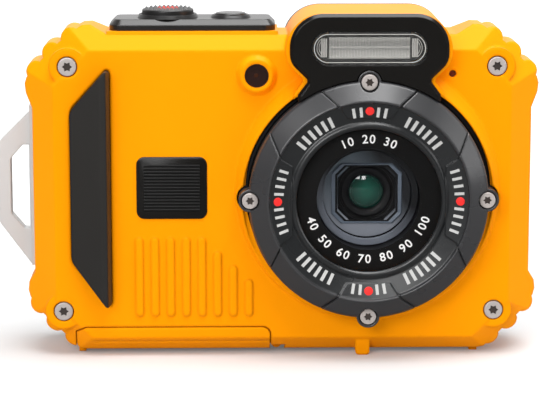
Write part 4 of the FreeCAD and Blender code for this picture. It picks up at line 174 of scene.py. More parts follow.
# Surfaces: material name, two close tones, roughness and what differs from surface()
SURFACES = {
    "yellow": ("yellow_shell", (0.845, 0.268, 0.0008), (0.875, 0.283, 0.0012), 0.40,
               dict(grain=2600, relief=0.006, edge=0.9, samples=8, Specular_IOR_Level=0.2,
                    Specular_Tint=(1.0, 0.5, 0.06, 1))),
    "black": ("black_plastic", (0.0050, 0.0047, 0.0042), (0.0070, 0.0065, 0.0058), 0.38,
              dict(Specular_IOR_Level=0.3)),
    "fascia": ("black_fascia", (0.0040, 0.0034, 0.0028), (0.0055, 0.0048, 0.0040), 0.20,
               dict(relief=0.001, edge=0.3, Specular_IOR_Level=0.35)),
    "dark": ("dark_grey", (0.018, 0.018, 0.019), (0.023, 0.023, 0.024), 0.36,
             dict(edge=0.2, Specular_IOR_Level=0.6)),
    "bezel": ("bezel_grey", (0.026, 0.026, 0.028), (0.032, 0.032, 0.034), 0.28,
              dict(relief=0.0003, edge=0.4, samples=8, Specular_IOR_Level=0.8)),
    "plate": ("control_plate", (0.009, 0.008, 0.0075), (0.013, 0.012, 0.011), 0.24,
              dict(grain=1500, relief=0.0003, edge=0.4, Specular_IOR_Level=0.5)),
    "inner": ("inner_black", (0.005, 0.005, 0.0055), (0.008, 0.008, 0.009), 0.5, dict(Specular_IOR_Level=0.3)),
    "rubber": ("grip_rubber", (0.012, 0.0105, 0.009), (0.015, 0.013, 0.011), 0.48,
               dict(grain=1500, relief=0.008, edge=0.5, Specular_IOR_Level=0.4)),
    "seal": ("seal_rubber", (0.0025, 0.0025, 0.0025), (0.004, 0.004, 0.004), 0.6, dict(Specular_IOR_Level=0.2)),
    "steel": ("screw_steel", (0.40, 0.36, 0.335), (0.52, 0.475, 0.45), 0.30,
              dict(relief=0.002, edge=0.15, Metallic=0.25)),
    # Socket stars: dark brown painted as shade in the screw recesses
    "painted_socket_shade": ("painted_socket_shade", (0.030, 0.022, 0.018), (0.06, 0.045, 0.038), 0.3, dict(edge=0)),
    "silver": ("silver_satin", (0.56, 0.555, 0.55), (0.62, 0.615, 0.61), 0.34,
               dict(grain=5000, relief=0.0005, edge=0.5, Metallic=0.2)),
    # Grey of the flash rim, painted as a highlight, and of the bars and lines over the reflector
    "flash_edge": ("flash_rim_highlight", (0.36, 0.35, 0.33), (0.48, 0.47, 0.44), 0.25, dict(edge=0)),
    "chrome": ("reflector_chrome", (0.80, 0.79, 0.75), (0.86, 0.85, 0.81), 0.24,
               dict(grain=900, relief=0.002, Metallic=0.1)),
    "board": ("board_green", (0.012, 0.09, 0.03), (0.02, 0.13, 0.045), 0.4, {}),
    "gloss_black": ("gloss_black", (0.004, 0.004, 0.005), (0.006, 0.006, 0.008), 0.12, dict(relief=0.0005)),
    "wrap": ("cell_wrap", (0.04, 0.045, 0.055), (0.06, 0.065, 0.08), 0.3, {}),
    "red": ("red_plastic", (0.42, 0.018, 0.010), (0.52, 0.028, 0.016), 0.38, {}),
    "red_print": ("red_print", (0.72, 0.018, 0.016), (0.80, 0.028, 0.024), 0.5,
                  dict(edge=0, Specular_IOR_Level=0.2)),
    "tick_print": ("tick_print", (0.42, 0.42, 0.41), (0.48, 0.48, 0.47), 0.5, dict(edge=0)),
    "white_print": ("white_print", (0.80, 0.80, 0.79), (0.86, 0.86, 0.85), 0.5, dict(edge=0)),
    "black_print": ("black_print", (0.0022, 0.0020, 0.0018), (0.0035, 0.0032, 0.0030), 0.42,
                    dict(relief=0.002, edge=0, Specular_IOR_Level=0.25)),
    "lamp_cup": ("lamp_cup", (0.035, 0.010, 0.003), (0.05, 0.014, 0.005), 0.5,
                 dict(edge=0, Specular_IOR_Level=0.1)),
    "lamp": ("lamp_tinted", (0.014, 0.0035, 0.0015), (0.022, 0.006, 0.003), 0.12, dict(edge=0)),
    "mesh_brown": ("mesh_brown", (0.24, 0.064, 0.008), (0.30, 0.085, 0.012), 0.6, dict(edge=0)),
    "barrel": ("barrel_face", (0.24, 0.26, 0.30), (0.28, 0.30, 0.35), 0.48,
               dict(grain=2500, relief=0.006, edge=0.12)),
    "barrel_rim": ("barrel_rim", (0.17, 0.19, 0.23), (0.20, 0.22, 0.265), 0.42, dict(edge=0.1)),
    "mouth_frame": ("mouth_frame", (0.12, 0.15, 0.195), (0.15, 0.185, 0.235), 0.4, dict(edge=0)),
    "rear_optic": ("rear_optic", (0.003, 0.010, 0.012), (0.006, 0.016, 0.02), 0.05, dict(edge=0)),
    "optic": ("coated_optic", (0.001, 0.008, 0.006), (0.002, 0.014, 0.010), 0.04,
              dict(relief=0, edge=0, Specular_IOR_Level=0.9)),
    "power": ("power_cap", (0.020, 0.019, 0.019), (0.030, 0.029, 0.028), 0.24,
              dict(relief=0.001, Specular_IOR_Level=0.6)),
    "cap_black": ("shutter_black", (0.010, 0.010, 0.010), (0.017, 0.016, 0.016), 0.30,
                  dict(relief=0.001, edge=0.08, Specular_IOR_Level=0.45)),
}

NODE_MATERIALS = {
    "yellow": ["front_shell", "battery_door"],
    "black": ["rear_shell", "memory_card", "door_latch", "inner_barrel"],
    "fascia": ["flash_fascia"],
    "bezel": ["bezel_ring"],
    "dark": ["zoom_rocker", "menu_button", "playback_button", "ok_button", "nav_pad"],
    "mesh_brown": ["microphone"],
    "plate": ["top_plate"],
    "cap_black": ["shutter_button", "button_collars"],
    "inner": ["lens_tube", "cam_ring", "battery_box", "nav_gimbal", "lens_mask"],
    "rubber": ["grip_pad"],
    "seal": ["housing_seal", "lens_window_seal", "stem_seals", "door_seal"],
    "steel": ["housing_screws", "bezel_screws", "chassis_screws", "strap_bar_screws", "door_hinge_pin",
              "button_springs"],
    "silver": ["strap_bar", "zoom_motor", "card_socket", "usb_socket"],
    "power": ["power_button"],
    "aluminium": ["inner_chassis"],
    "brass": ["tripod_socket"],
    "clear": ["lens_window", "screen_window", "flash_tube"],
    "flash_clear": ["flash_window"],
    "chrome": ["flash_reflector"],
    "board": ["main_board", "key_board", "button_board"],
    "gloss_black": ["screen_module", "image_sensor", "speaker"],
    "wrap": ["battery", "flash_capacitor"],
    "red": ["record_button", "indicator_lamp"],
    "lamp": ["assist_lamp_lens", "assist_lamp_led"],
    "barrel": ["zoom_barrel"],
    "optic": ["front_lens"],
    "rear_optic": ["rear_lens"],
}


def mm(x, y, z):
    return Vector((x * MM, y * MM, z * MM))


# Materials

def new_material(name):
    material = bpy.data.materials.new(name)
    material.use_nodes = True
    tree = material.node_tree
    return material, tree.nodes, tree.links, tree.nodes["Principled BSDF"]


def noise(nodes, links, place, scale, detail=3.0):
    texture = nodes.new("ShaderNodeTexNoise")
    texture.inputs["Scale"].default_value = scale
    texture.inputs["Detail"].default_value = detail
    texture.inputs["Roughness"].default_value = 0.5
    links.new(place.outputs["Object"], texture.inputs["Vector"])
    return texture


def mix_colours(nodes, links, factor, first, second):
    mix = nodes.new("ShaderNodeMix")
    mix.data_type = "RGBA"
    mix.inputs["A"].default_value = (*first, 1)
    mix.inputs["B"].default_value = (*second, 1)
    links.new(factor, mix.inputs["Factor"])
    return mix.outputs["Result"]


def spread(nodes, links, value, low, high, start=0.3, end=0.7):
    """Maps a value from start..end to low..high."""
    ranged = nodes.new("ShaderNodeMapRange")
    ranged.inputs["From Min"].default_value = start
    ranged.inputs["From Max"].default_value = end
    ranged.inputs["To Min"].default_value = low
    ranged.inputs["To Max"].default_value = high
    links.new(value, ranged.inputs["Value"])
    return ranged.outputs["Result"]


def vector_step(nodes, links, operation, source, vector):
    """Vector maths node that works on a socket and a fixed vector."""
    step = nodes.new("ShaderNodeVectorMath")
    step.operation = operation
    step.inputs[1].default_value = vector
    links.new(source, step.inputs[0])
    return step


def surface(name, dark, light, rough, grain=3500, relief=0.004, edge=0.25, samples=4, **sockets):
    """Moulded or machined surface: two close tones, fine grain, uneven gloss and softened edges."""
    material, nodes, links, shader = new_material(name)
    place = nodes.new("ShaderNodeTexCoord")
    broad = noise(nodes, links, place, MOTTLE_SCALE).outputs["Fac"]
    fine = noise(nodes, links, place, grain, 2.0)
    links.new(mix_colours(nodes, links, broad, dark, light), shader.inputs["Base Color"])
    gloss = spread(nodes, links, broad, rough - GLOSS_SPREAD, rough + GLOSS_SPREAD)
    links.new(gloss, shader.inputs["Roughness"])
    bump = nodes.new("ShaderNodeBump")
    bump.inputs["Strength"].default_value = 1
    bump.inputs["Distance"].default_value = relief * MM
    links.new(fine.outputs["Fac"], bump.inputs["Height"])
    if edge:
        bevel = nodes.new("ShaderNodeBevel")
        bevel.samples = samples
        bevel.inputs["Radius"].default_value = edge * MM
        links.new(bevel.outputs["Normal"], bump.inputs["Normal"])
    links.new(bump.outputs["Normal"], shader.inputs["Normal"])
    for socket, value in sockets.items():
        shader.inputs[socket.replace("_", " ")].default_value = value
    return material


def brushed(name, dark, light, rough, stretch):
    """Metal with fine drawn lines along one direction."""
    material = surface(name, dark, light, rough, grain=900, relief=0.003, edge=0.12, Metallic=1.0)
    nodes = material.node_tree.nodes
    links = material.node_tree.links
    mapping = nodes.new("ShaderNodeMapping")
    mapping.inputs["Scale"].default_value = stretch
    place = next(n for n in nodes if n.bl_idname == "ShaderNodeTexCoord")
    links.new(place.outputs["Object"], mapping.inputs["Vector"])
    for texture in [n for n in nodes if n.bl_idname == "ShaderNodeTexNoise"]:
        links.new(mapping.outputs["Vector"], texture.inputs["Vector"])
    return material


def clear_cover(name, tint, alpha, rough=0.03, specular=0.5):
    """Thin clear pane: mostly see-through, with faint uneven smears in its gloss."""
    material, nodes, links, shader = new_material(name)
    smear = noise(nodes, links, nodes.new("ShaderNodeTexCoord"), SMEAR_SCALE).outputs["Fac"]
    links.new(mix_colours(nodes, links, smear, tint, tuple(c * 0.8 for c in tint)), shader.inputs["Base Color"])
    links.new(spread(nodes, links, smear, rough, rough + SMEAR_SPREAD), shader.inputs["Roughness"])
    shader.inputs["Alpha"].default_value = alpha
    shader.inputs["IOR"].default_value = 1.5
    shader.inputs["Specular IOR Level"].default_value = specular
    return material


def blend_base(material, factor, tone):
    """Blends a material's colour into another tone where the factor is 1."""
    nodes = material.node_tree.nodes
    links = material.node_tree.links
    base = nodes["Principled BSDF"].inputs["Base Color"]
    mix = nodes.new("ShaderNodeMix")
    mix.data_type = "RGBA"
    mix.inputs["B"].default_value = (*tone, 1)
    links.new(base.links[0].from_socket, mix.inputs["A"])
    links.new(factor, mix.inputs["Factor"])
    links.new(mix.outputs["Result"], base)


def paint_shade_across(material, tone, direction, start, end):
    """Paints shade: blends into another tone along a direction across the lens, from start to end in mm."""
    nodes = material.node_tree.nodes
    links = material.node_tree.links
    place = nodes.new("ShaderNodeTexCoord").outputs["Object"]
    along = vector_step(nodes, links, "DOT_PRODUCT", place, tuple(d / MM for d in direction))
    centre = direction[0] * LENS_X + direction[2] * LENS_Z
    factor = spread(nodes, links, along.outputs["Value"], 0, 1, centre + start, centre + end)
    blend_base(material, factor, tone)


def tone_inside(material, tone, start, end):
    """Blends into another tone inside a radius about the lens axis, from end down to start in mm; paints shade
    on the bezel and a reflection on the optic.
    """
    nodes = material.node_tree.nodes
    links = material.node_tree.links
    place = nodes.new("ShaderNodeTexCoord").outputs["Object"]
    offset = vector_step(nodes, links, "SUBTRACT", place, mm(LENS_X, 0, LENS_Z))
    flat = vector_step(nodes, links, "MULTIPLY", offset.outputs["Vector"], (1 / MM, 0, 1 / MM))
    length = nodes.new("ShaderNodeVectorMath")
    length.operation = "LENGTH"
    links.new(flat.outputs["Vector"], length.inputs[0])
    blend_base(material, spread(nodes, links, length.outputs["Value"], 1, 0, start, end), tone)


def make_materials():
    made = {}
    for key, (name, dark, light, rough, options) in SURFACES.items():
        made[key] = surface(name, dark, light, rough, **options)
    made["aluminium"] = brushed("sheet_aluminium", (0.55, 0.56, 0.58), (0.7, 0.7, 0.72), 0.35, (6, 1, 1))
    made["brass"] = brushed("turned_brass", (0.55, 0.40, 0.18), (0.68, 0.52, 0.26), 0.28, (1, 1, 8))
    made["clear"] = clear_cover("clear_pane", (0.004, 0.004, 0.006), 0.06, specular=0.15)
    made["flash_clear"] = clear_cover("flash_pane", (0.35, 0.35, 0.33), 0.06, 0.08)
    made["rib_clear"] = clear_cover("flash_rib", (0.80, 0.79, 0.75), 0.24, 0.1)
    # Bezel: the sloping channel inside the band painted darker, as painted shade
    tone_inside(made["bezel"], (0.009, 0.010, 0.011), 19.5, 19.9)
    # Front optic: lighter teal towards the middle, a painted reflection of the coating
    tone_inside(made["optic"], (0.014, 0.105, 0.072), 0.8, 3.9)
    # Barrel face: painted shade, darker upwards from below the axis and near black towards the upper right
    paint_shade_across(made["barrel"], (0.11, 0.145, 0.18), (0, 0, 1), -6, 2)
    paint_shade_across(made["barrel"], (0.012, 0.014, 0.018), (0.85, 0, 0.5), 1, 6)
    # Barrel collar: painted shade, near black towards the upper right
    paint_shade_across(made["barrel_rim"], (0.008, 0.009, 0.011), (0.45, 0, 0.9), -7, 2)
    return made


def dress_nodes():
    for key, names in NODE_MATERIALS.items():
        for name in names:
            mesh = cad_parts[name].data
            mesh.materials.clear()
            mesh.materials.append(MADE[key])


# Meshes: a part is a pair of vertices and faces

def piece(name, mesh, material, body, sharp=35):
    """Links a finished mesh, smooths it up to an angle and lets it ride on a body."""
    mesh.polygons.foreach_set("use_smooth", [True] * len(mesh.polygons))
    mesh.set_sharp_from_angle(angle=math.radians(sharp))
    mesh.materials.append(MADE[material])
    obj = bpy.data.objects.new(name, mesh)
    bpy.context.scene.collection.objects.link(obj)
    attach(obj, body)


def mesh_from(name, parts):
    """One mesh of several parts, with its normals turned outwards."""
    verts = []
    faces = []
    for part_verts, part_faces in parts:
        base = len(verts)
        verts += part_verts
        faces += [tuple(base + i for i in face) for face in part_faces]
    mesh = bpy.data.meshes.new(name)
    mesh.from_pydata([tuple(v) for v in verts], [], faces)
    builder = bmesh.new()
    builder.from_mesh(mesh)
    bmesh.ops.recalc_face_normals(builder, faces=builder.faces)
    builder.to_mesh(mesh)
    builder.free()
    return mesh


def part_of(mesh):
    """Turns a mesh back into a part."""
    part = [v.co.copy() for v in mesh.vertices], [tuple(p.vertices) for p in mesh.polygons]
    bpy.data.meshes.remove(mesh)
    return part


def grid_faces(rows, count):
    """Faces of a grid that closes both ways."""
    faces = []
    for row in range(rows):
        after = (row + 1) % rows
        for i in range(count):
            j = (i + 1) % count
            faces.append((row * count + i, row * count + j, after * count + j, after * count + i))
    return faces


def lathe(profile, place, steps=96):
    """Closed (radius, y) section turned about an axis along Y through an (x, z) place."""
    verts = []
    for step in range(steps):
        angle = 2 * math.pi * step / steps
        for radius, y in profile:
            verts.append(mm(place[0] + radius * math.cos(angle), y, place[1] + radius * math.sin(angle)))
    return verts, grid_faces(steps, len(profile))


def loft_rings(layers):
    """Closed tube through outlines of one length, each (outline, y)."""
    verts = [mm(x, y, z) for outline, y in layers for x, z in outline]
    return verts, grid_faces(len(layers), len(layers[0][0]))


def slab(outline, y0, y1):
    """Plate with square edges between two Y planes."""
    count = len(outline)
    verts = [mm(x, y, z) for y in (y0, y1) for x, z in outline]
    faces = [tuple(range(count)), tuple(range(2 * count - 1, count - 1, -1))]
    faces += [(i, (i + 1) % count, count + (i + 1) % count, count + i) for i in range(count)]
    return verts, faces


def prism(outline, y0, y1, bevel=0.0):
    """Mesh of a plate between two Y planes over an XZ outline, with its front rim bevelled."""
    builder = bmesh.new()
    face = builder.faces.new([builder.verts.new(mm(x, y1, z)) for x, z in outline])
    made = bmesh.ops.extrude_face_region(builder, geom=[face])
    front = [g for g in made["geom"] if isinstance(g, bmesh.types.BMVert)]
    bmesh.ops.translate(builder, verts=front, vec=mm(0, y0 - y1, 0))
    bmesh.ops.recalc_face_normals(builder, faces=builder.faces)
    if bevel:
        rim = [e for e in builder.edges if all(v in front for v in e.verts)]
        bmesh.ops.bevel(builder, geom=rim, offset=bevel * MM, segments=2, affect="EDGES", profile=0.5)
    mesh = bpy.data.meshes.new("plate")
    builder.to_mesh(mesh)
    builder.free()
    return mesh


def ridge(x0, x1, z0, z1, y0, y1, upright):
    """Long three-sided ridge whose crest lies in the plane y1."""
    if upright:
        middle = (x0 + x1) / 2
        corners = [(x0, y0, z0), (middle, y1, z0), (x1, y0, z0), (x0, y0, z1), (middle, y1, z1), (x1, y0, z1)]
    else:
        middle = (z0 + z1) / 2
        corners = [(x0, y0, z0), (x0, y1, middle), (x0, y0, z1), (x1, y0, z0), (x1, y1, middle), (x1, y0, z1)]
    faces = [(0, 1, 2), (3, 5, 4), (0, 3, 4, 1), (1, 4, 5, 2), (2, 5, 3, 0)]
    return [mm(*corner) for corner in corners], faces


# Outlines in mm

def arc_points(cx, cz, radius, start, end, steps):
    points = []
    for i in range(steps + 1):
        angle = math.radians(start + (end - start) * i / steps)
        points.append((cx + radius * math.cos(angle), cz + radius * math.sin(angle)))
    return points


def round_rect(x0, x1, z0, z1, radius, steps=6):
    points = arc_points(x1 - radius, z1 - radius, radius, 0, 90, steps)
    points += arc_points(x0 + radius, z1 - radius, radius, 90, 180, steps)
    points += arc_points(x0 + radius, z0 + radius, radius, 180, 270, steps)
    points += arc_points(x1 - radius, z0 + radius, radius, 270, 360, steps)
    return points


def triangle(x, z, size, degrees):
    turns = [math.radians(degrees + turn) for turn in (0, 120, 240)]
    return [(x + size * math.cos(turn), z + size * math.sin(turn)) for turn in turns]


def bar(x, z, half_w, half_h):
    return [(x - half_w, z - half_h), (x + half_w, z - half_h),
            (x + half_w, z + half_h), (x - half_w, z + half_h)]


def polar(radius, degrees):
    """Place at a radius and angle about the lens axis."""
    angle = math.radians(degrees)
    return LENS_X + radius * math.cos(angle), LENS_Z + radius * math.sin(angle)


def node_centre(node):
    """Centre x and z of a CAD node, in mm."""
    low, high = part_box(node)
    return (low.x + high.x) / 2 / MM, (low.z + high.z) / 2 / MM


# Bezel ring

def channel_y(radius, rise):
    """Height of the bezel ring's inner slope at a radius."""
    share = (radius - CHANNEL_INNER[0]) / (CHANNEL_OUTER[0] - CHANNEL_INNER[0])
    return CHANNEL_INNER[1] + share * (CHANNEL_OUTER[1] - CHANNEL_INNER[1]) - rise


def tick(degrees, inner, outer, width, rise):
    """Box-shaped tick that lies on the bezel's slope."""
    angle = math.radians(degrees)
    verts = []
    for lift in (0.0, TICK_HEIGHT):
        for radius in (inner, outer):
            for side in (-width / 2, width / 2):
                x = LENS_X + radius * math.cos(angle) - side * math.sin(angle)
                z = LENS_Z + radius * math.sin(angle) + side * math.cos(angle)
                verts.append(mm(x, channel_y(radius, rise) + SKIN - lift, z))
    return verts, [(0, 1, 3, 2), (4, 6, 7, 5), (0, 4, 5, 1), (2, 3, 7, 6), (0, 2, 6, 4), (1, 5, 7, 3)]


def dot(centre):
    """Domed dot that lies on the bezel's slope."""
    verts, faces = lathe(DOT_SECTION, (0, 0), 32)
    tilt = math.atan2(CHANNEL_INNER[1] - CHANNEL_OUTER[1], CHANNEL_OUTER[0] - CHANNEL_INNER[0])
    angle = math.radians(centre)
    lean = Matrix.Rotation(-tilt, 4, Vector((-math.sin(angle), 0, math.cos(angle))))
    x, z = polar(DOT_RADIUS_OUT, centre)
    place = mm(x, channel_y(DOT_RADIUS_OUT, PLATFORM_RISE), z)
    return [lean @ v + place for v in verts], faces


def add_bezel_marks():
    ticks = [tick(centre + offset, *sizes) for centres, offsets, *sizes in TICK_GROUPS
             for centre in centres for offset in offsets]
    piece("bezel_ticks", mesh_from("bezel_ticks", ticks), "tick_print", "camera")
    dots = [dot(centre) for centre in (0, 90, 180, 270)]
    piece("bezel_dots", mesh_from("bezel_dots", dots), "red_print", "camera")


def ear_reach(degrees, ring_radius, ear_radius):
    """Distance from the lens axis to the outline of a ring with four ears."""
    reach = ring_radius
    for centre in (0, 90, 180, 270):
        delta = math.radians((degrees - centre + 180) % 360 - 180)
        across = EAR_PITCH_RADIUS * math.sin(delta)
        if abs(delta) < 1 and abs(across) < ear_radius:
            reach = max(reach, EAR_PITCH_RADIUS * math.cos(delta) + math.sqrt(ear_radius ** 2 - across ** 2))
    return reach


def gap_shade_section(degrees):
    """Section of the black strip painted as shade in the gap, wide above the lens and thin below it: (outset
    from ring, outset from ears, y).
    """
    share = min(1, max(0, 0.5 + 0.9 * math.sin(math.radians(degrees))))
    share = share * share * (3 - 2 * share)
    width, foot, crest = (thin + growth * share for thin, growth in zip(GAP_SHADE_THIN, GAP_SHADE_GROWTH))
    ear_width = min(width, GAP_SHADE_EAR_WIDTH)
    return [(SKIN, SKIN, foot), (SKIN, SKIN, crest), (0.4 * width, 0.4 * ear_width, crest - GAP_SHADE_CROWN),
            (width, ear_width, crest), (width, ear_width, foot)]


def add_bezel_gap_shade():
    """Black strip painted as shade in the gap around the bezel ring and its ears."""
    verts = []
    for step in range(GAP_SHADE_STEPS):
        degrees = 360 * step / GAP_SHADE_STEPS
        section = gap_shade_section(degrees)
        for outset, ear_outset, y in section:
            x, z = polar(ear_reach(degrees, RING_RADIUS + outset, EAR_RADIUS + ear_outset), degrees)
            verts.append(mm(x, y, z))
    mesh = mesh_from("bezel_gap_shade", [(verts, grid_faces(GAP_SHADE_STEPS, len(section)))])
    piece("bezel_gap_shade", mesh, "seal", "camera")


# Lens

def figure(letter, radius, degrees, spin):
    """Flat figure whose foot is at a radius and angle about the lens axis."""
    curve = bpy.data.curves.new("figure", "FONT")
    curve.body = letter
    curve.size = FIGURE_SIZE * MM * FIGURE_FONT_SCALE
    curve.align_x = "CENTER"
    curve.offset = FIGURE_WEIGHT * MM
    curve.resolution_u = 6
    holder = bpy.data.objects.new("figure", curve)
    bpy.context.scene.collection.objects.link(holder)
    bpy.context.view_layer.update()
    verts, faces = part_of(bpy.data.meshes.new_from_object(holder))
    bpy.data.objects.remove(holder)
    bpy.data.curves.remove(curve)
    x, z = polar(radius, degrees)
    turn = Matrix.Rotation(math.radians(-spin), 4, "Y") @ Matrix.Rotation(math.radians(90), 4, "X")
    place = mm(x, WINDOW_BACK_Y - FIGURE_LIFT, z)
    return [turn @ v + place for v in verts], faces


def figures(words, radius, inward):
    """Figures set around the lens axis, with their feet inwards at the top and outwards at the bottom."""
    parts = []
    step = math.degrees(FIGURE_SIZE * FIGURE_SPACING / radius)
    for i, letter in enumerate(words):
        offset = (i - (len(words) - 1) / 2) * step
        if letter != " " and inward:
            parts.append(figure(letter, radius + FIGURE_SIZE, 270 + offset, 360 + offset))
        elif letter != " ":
            parts.append(figure(letter, radius, 90 - offset, -offset))
    return parts


def add_lens_print():
    inner, outer = PRINT_RADII
    back, front = (WINDOW_BACK_Y - lift for lift in PRINT_LIFTS)
    field = lathe([(inner, front), (inner, back), (outer, back), (outer, front)], (LENS_X, LENS_Z), 128)
    piece("lens_print", mesh_from("lens_print", [field]), "black_print", "camera")
    parts = figures(*UPPER_FIGURES, False) + figures(*LOWER_FIGURES, True)
    piece("lens_figures", mesh_from("lens_figures", parts), "white_print", "camera")


def add_lens_stack():
    """Rings inside the barrels: retainer over the front element and stepped funnel behind the mouth."""
    axis = (LENS_X, LENS_Z)
    mesh = mesh_from("lens_retainer", [lathe(RETAINER_SECTION, axis)])
    piece("lens_retainer", mesh, "inner", "inner_barrel")
    steps = []
    for i in range(FUNNEL_STEPS):
        radius = FUNNEL_RADIUS - FUNNEL_NARROWING * i
        y = FUNNEL_FRONT_Y + FUNNEL_DEEPENING * i
        section = [(radius, y), (radius - 0.5, y + 0.04), (radius - 0.56, y + 0.22), (radius, y + 0.22)]
        steps.append(lathe(section, axis))
    piece("barrel_steps", mesh_from("barrel_steps", steps), "inner", "inner_barrel")
    mesh = mesh_from("barrel_collar", [lathe(COLLAR_SECTION, axis, 128)])
    piece("barrel_collar", mesh, "barrel_rim", "camera")


def chamfered(half_w, half_h, cut):
    """Rectangle with cut corners about the lens axis."""
    corners = [(half_w, half_h - cut), (half_w - cut, half_h), (cut - half_w, half_h),
               (-half_w, half_h - cut), (-half_w, cut - half_h), (cut - half_w, -half_h),
               (half_w - cut, -half_h), (half_w, cut - half_h)]
    return [(LENS_X + x, LENS_Z + z) for x, z in corners]


def add_mouth_frame():
    """Bevelled frame round the barrel's mouth, wide at the sides, and a dark step inside it."""
    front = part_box("zoom_barrel")[0].y / MM
    rim = [(chamfered(7.2, 6.2, 2.0), front + 0.02), (chamfered(7.1, 6.1, 2.0), front - 0.30),
           (chamfered(6.95, 6.0, 2.0), front - 0.36), (chamfered(6.3, 5.75, 1.9), front - 0.02),
           (chamfered(6.3, 5.75, 1.9), front + 0.02)]
    step = [(chamfered(6.35, 5.8, 1.9), front + 0.01), (chamfered(6.35, 5.8, 1.9), front - 0.04),
            (chamfered(5.9, 5.45, 1.8), front - 0.03), (chamfered(5.75, 5.35, 1.8), front + 0.5),
            (chamfered(5.8, 5.4, 1.8), front + 0.6)]
    for name, layers, material in (("mouth_frame", rim, "mouth_frame"), ("mouth_step", step, "inner")):
        piece(name, mesh_from(name, [loft_rings(layers)]), material, "zoom_barrel", sharp=20)


# Front casing

def add_badge():
    """Plain black rounded plate left of the lens, with a shallow panel of fine level grooves."""
    x0, x1, z0, z1 = BADGE
    mesh = prism(round_rect(*BADGE, BADGE_CORNER), FRONT_Y - BADGE_PROUD, FRONT_Y + BADGE_SUNK,
                 bevel=BADGE_BEVEL)
    piece("badge_plate", mesh, "fascia", "camera")
    pitch = (z1 - z0 - 2 * BADGE_FRAME) / BADGE_ROWS
    foot = FRONT_Y - BADGE_PROUD + 0.01
    crest = foot - GROOVE_RISE
    ridges = []
    for row in range(BADGE_ROWS):
        z = z0 + BADGE_FRAME + pitch * row
        verts = [mm(x, y, z + dz) for x in (x0 + BADGE_FRAME, x1 - BADGE_FRAME) for y, dz in
                 ((foot, GROOVE_FOOT), (crest, GROOVE_CREST), (crest, pitch - GROOVE_CREST),
                  (foot, pitch - GROOVE_FOOT))]
        faces = [(0, 4, 5, 1), (1, 5, 6, 2), (2, 6, 7, 3), (3, 7, 4, 0), (0, 1, 2, 3), (4, 7, 6, 5)]
        ridges.append((verts, faces))
    piece("badge_ridges", mesh_from("badge_ridges", ridges), "black_print", "camera")


def screw_heads(node):
    """Centre, radius and front of each screw head in a node, in mm."""
    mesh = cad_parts[node].data
    front = min(v.co.y for v in mesh.vertices)
    clusters = []
    for place in [v.co for v in mesh.vertices if v.co.y < front + HEAD_DEPTH * MM]:
        near = [c for c in clusters if math.hypot(place.x - c[0].x, place.z - c[0].z) < HEAD_REACH * MM]
        if near:
            near[0].append(place)
        else:
            clusters.append([place])
    for cluster in clusters:
        left, right = min(p.x for p in cluster) / MM, max(p.x for p in cluster) / MM
        low, high = min(p.z for p in cluster) / MM, max(p.z for p in cluster) / MM
        yield (left + right) / 2, (low + high) / 2, (right - left) / 2, front / MM


def add_screw_socket_shade():
    """Dark stars painted as shade at the bottoms of the star sockets in the front screws."""
    stars = []
    for node, share in STAR_SHARES:
        for x, z, radius, front in screw_heads(node):
            outline = []
            for i in range(12):
                reach = radius * share * (1 if i % 2 == 0 else STAR_WAIST)
                outline.append((x + reach * math.cos(math.pi * i / 6), z + reach * math.sin(math.pi * i / 6)))
            stars.append(slab(outline, *(front + depth for depth in STAR_DEPTHS)))
    piece("screw_socket_shade", mesh_from("screw_socket_shade", stars), "painted_socket_shade", "camera")


def add_lamp_rings():
    """Fine rings on the focus lamp's cover with the lamp's cup in the middle."""
    low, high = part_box("assist_lamp_lens")
    x = (low.x + high.x) / 2 / MM
    z = (low.z + high.z) / 2 / MM
    front = low.y / MM
    rings = []
    for radius, width, lift in LAMP_RINGS:
        rings.append(lathe([(radius, front + 0.05), (radius, front - lift), (radius + width, front - lift),
                            (radius + width, front + 0.05)], (x, z), 64))
    piece("lamp_rings", mesh_from("lamp_rings", rings), "lamp", "camera")
    cup = lathe([(0.001, front + 0.05), (0.001, front - 0.06), (0.3, front - 0.09), (0.42, front - 0.05),
                 (0.42, front + 0.05)], (x - 0.1, z + 0.05), 32)
    piece("lamp_cup", mesh_from("lamp_cup", [cup]), "lamp_cup", "camera")


def add_strap_gasket():
    """Black strip in the joint between the strap bar's flange and the side of the body."""
    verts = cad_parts["strap_bar"].data.vertices
    side = [v.co for v in verts if abs(v.co.x - BODY_LEFT_X * MM) < 0.1 * MM]
    z0 = min(p.z for p in side) / MM
    z1 = max(p.z for p in side) / MM
    y0 = min(p.y for p in side) / MM - STRAP_GASKET_EDGE
    y1 = max(p.y for p in side) / MM + STRAP_GASKET_EDGE
    x0 = BODY_LEFT_X - 0.5
    x1 = BODY_LEFT_X + 0.02
    corners = [mm(x, y, z) for z in (z0, z1) for x, y in ((x0, y0), (x1, y0), (x1, y1), (x0, y1))]
    faces = [(0, 3, 2, 1), (4, 5, 6, 7), (0, 1, 5, 4), (1, 2, 6, 5), (2, 3, 7, 6), (3, 0, 4, 7)]
    piece("strap_gasket", mesh_from("strap_gasket", [(corners, faces)]), "seal", "camera")


# Flash

def flash_rim_highlight_part(cx, cz, half_w, half_h, front):
    """Thin bright rim on the fascia round the pane: a painted highlight on the edge of the opening."""
    outer, inner = (round_rect(cx - half_w - grow, cx + half_w + grow, cz - half_h - grow, cz + half_h + grow,
                               half_h + grow - 0.01, 16) for grow in FLASH_HIGHLIGHT_GROWTH)
    foot, crest = front + 0.13, front + 0.04
    return loft_rings([(outer, foot), (outer, crest), (inner, crest), (inner, foot)])


def flash_mask(cx, cz, half_w, half_h, side, back):
    """Dark round end beside the bright field."""
    turn = 0 if side > 0 else 180
    near = cx + side * FLASH_FIELD
    cap = half_h + 0.18
    arc = arc_points(cx + side * (half_w - half_h), cz, cap, turn - 90, turn + 90, 24)
    beyond = [p for p in arc if (p[0] - near) * side > 0.05]
    outline = [(near, cz - side * cap)] + beyond + [(near, cz + side * cap)]
    return slab(outline, back + 0.30, back + 0.5)


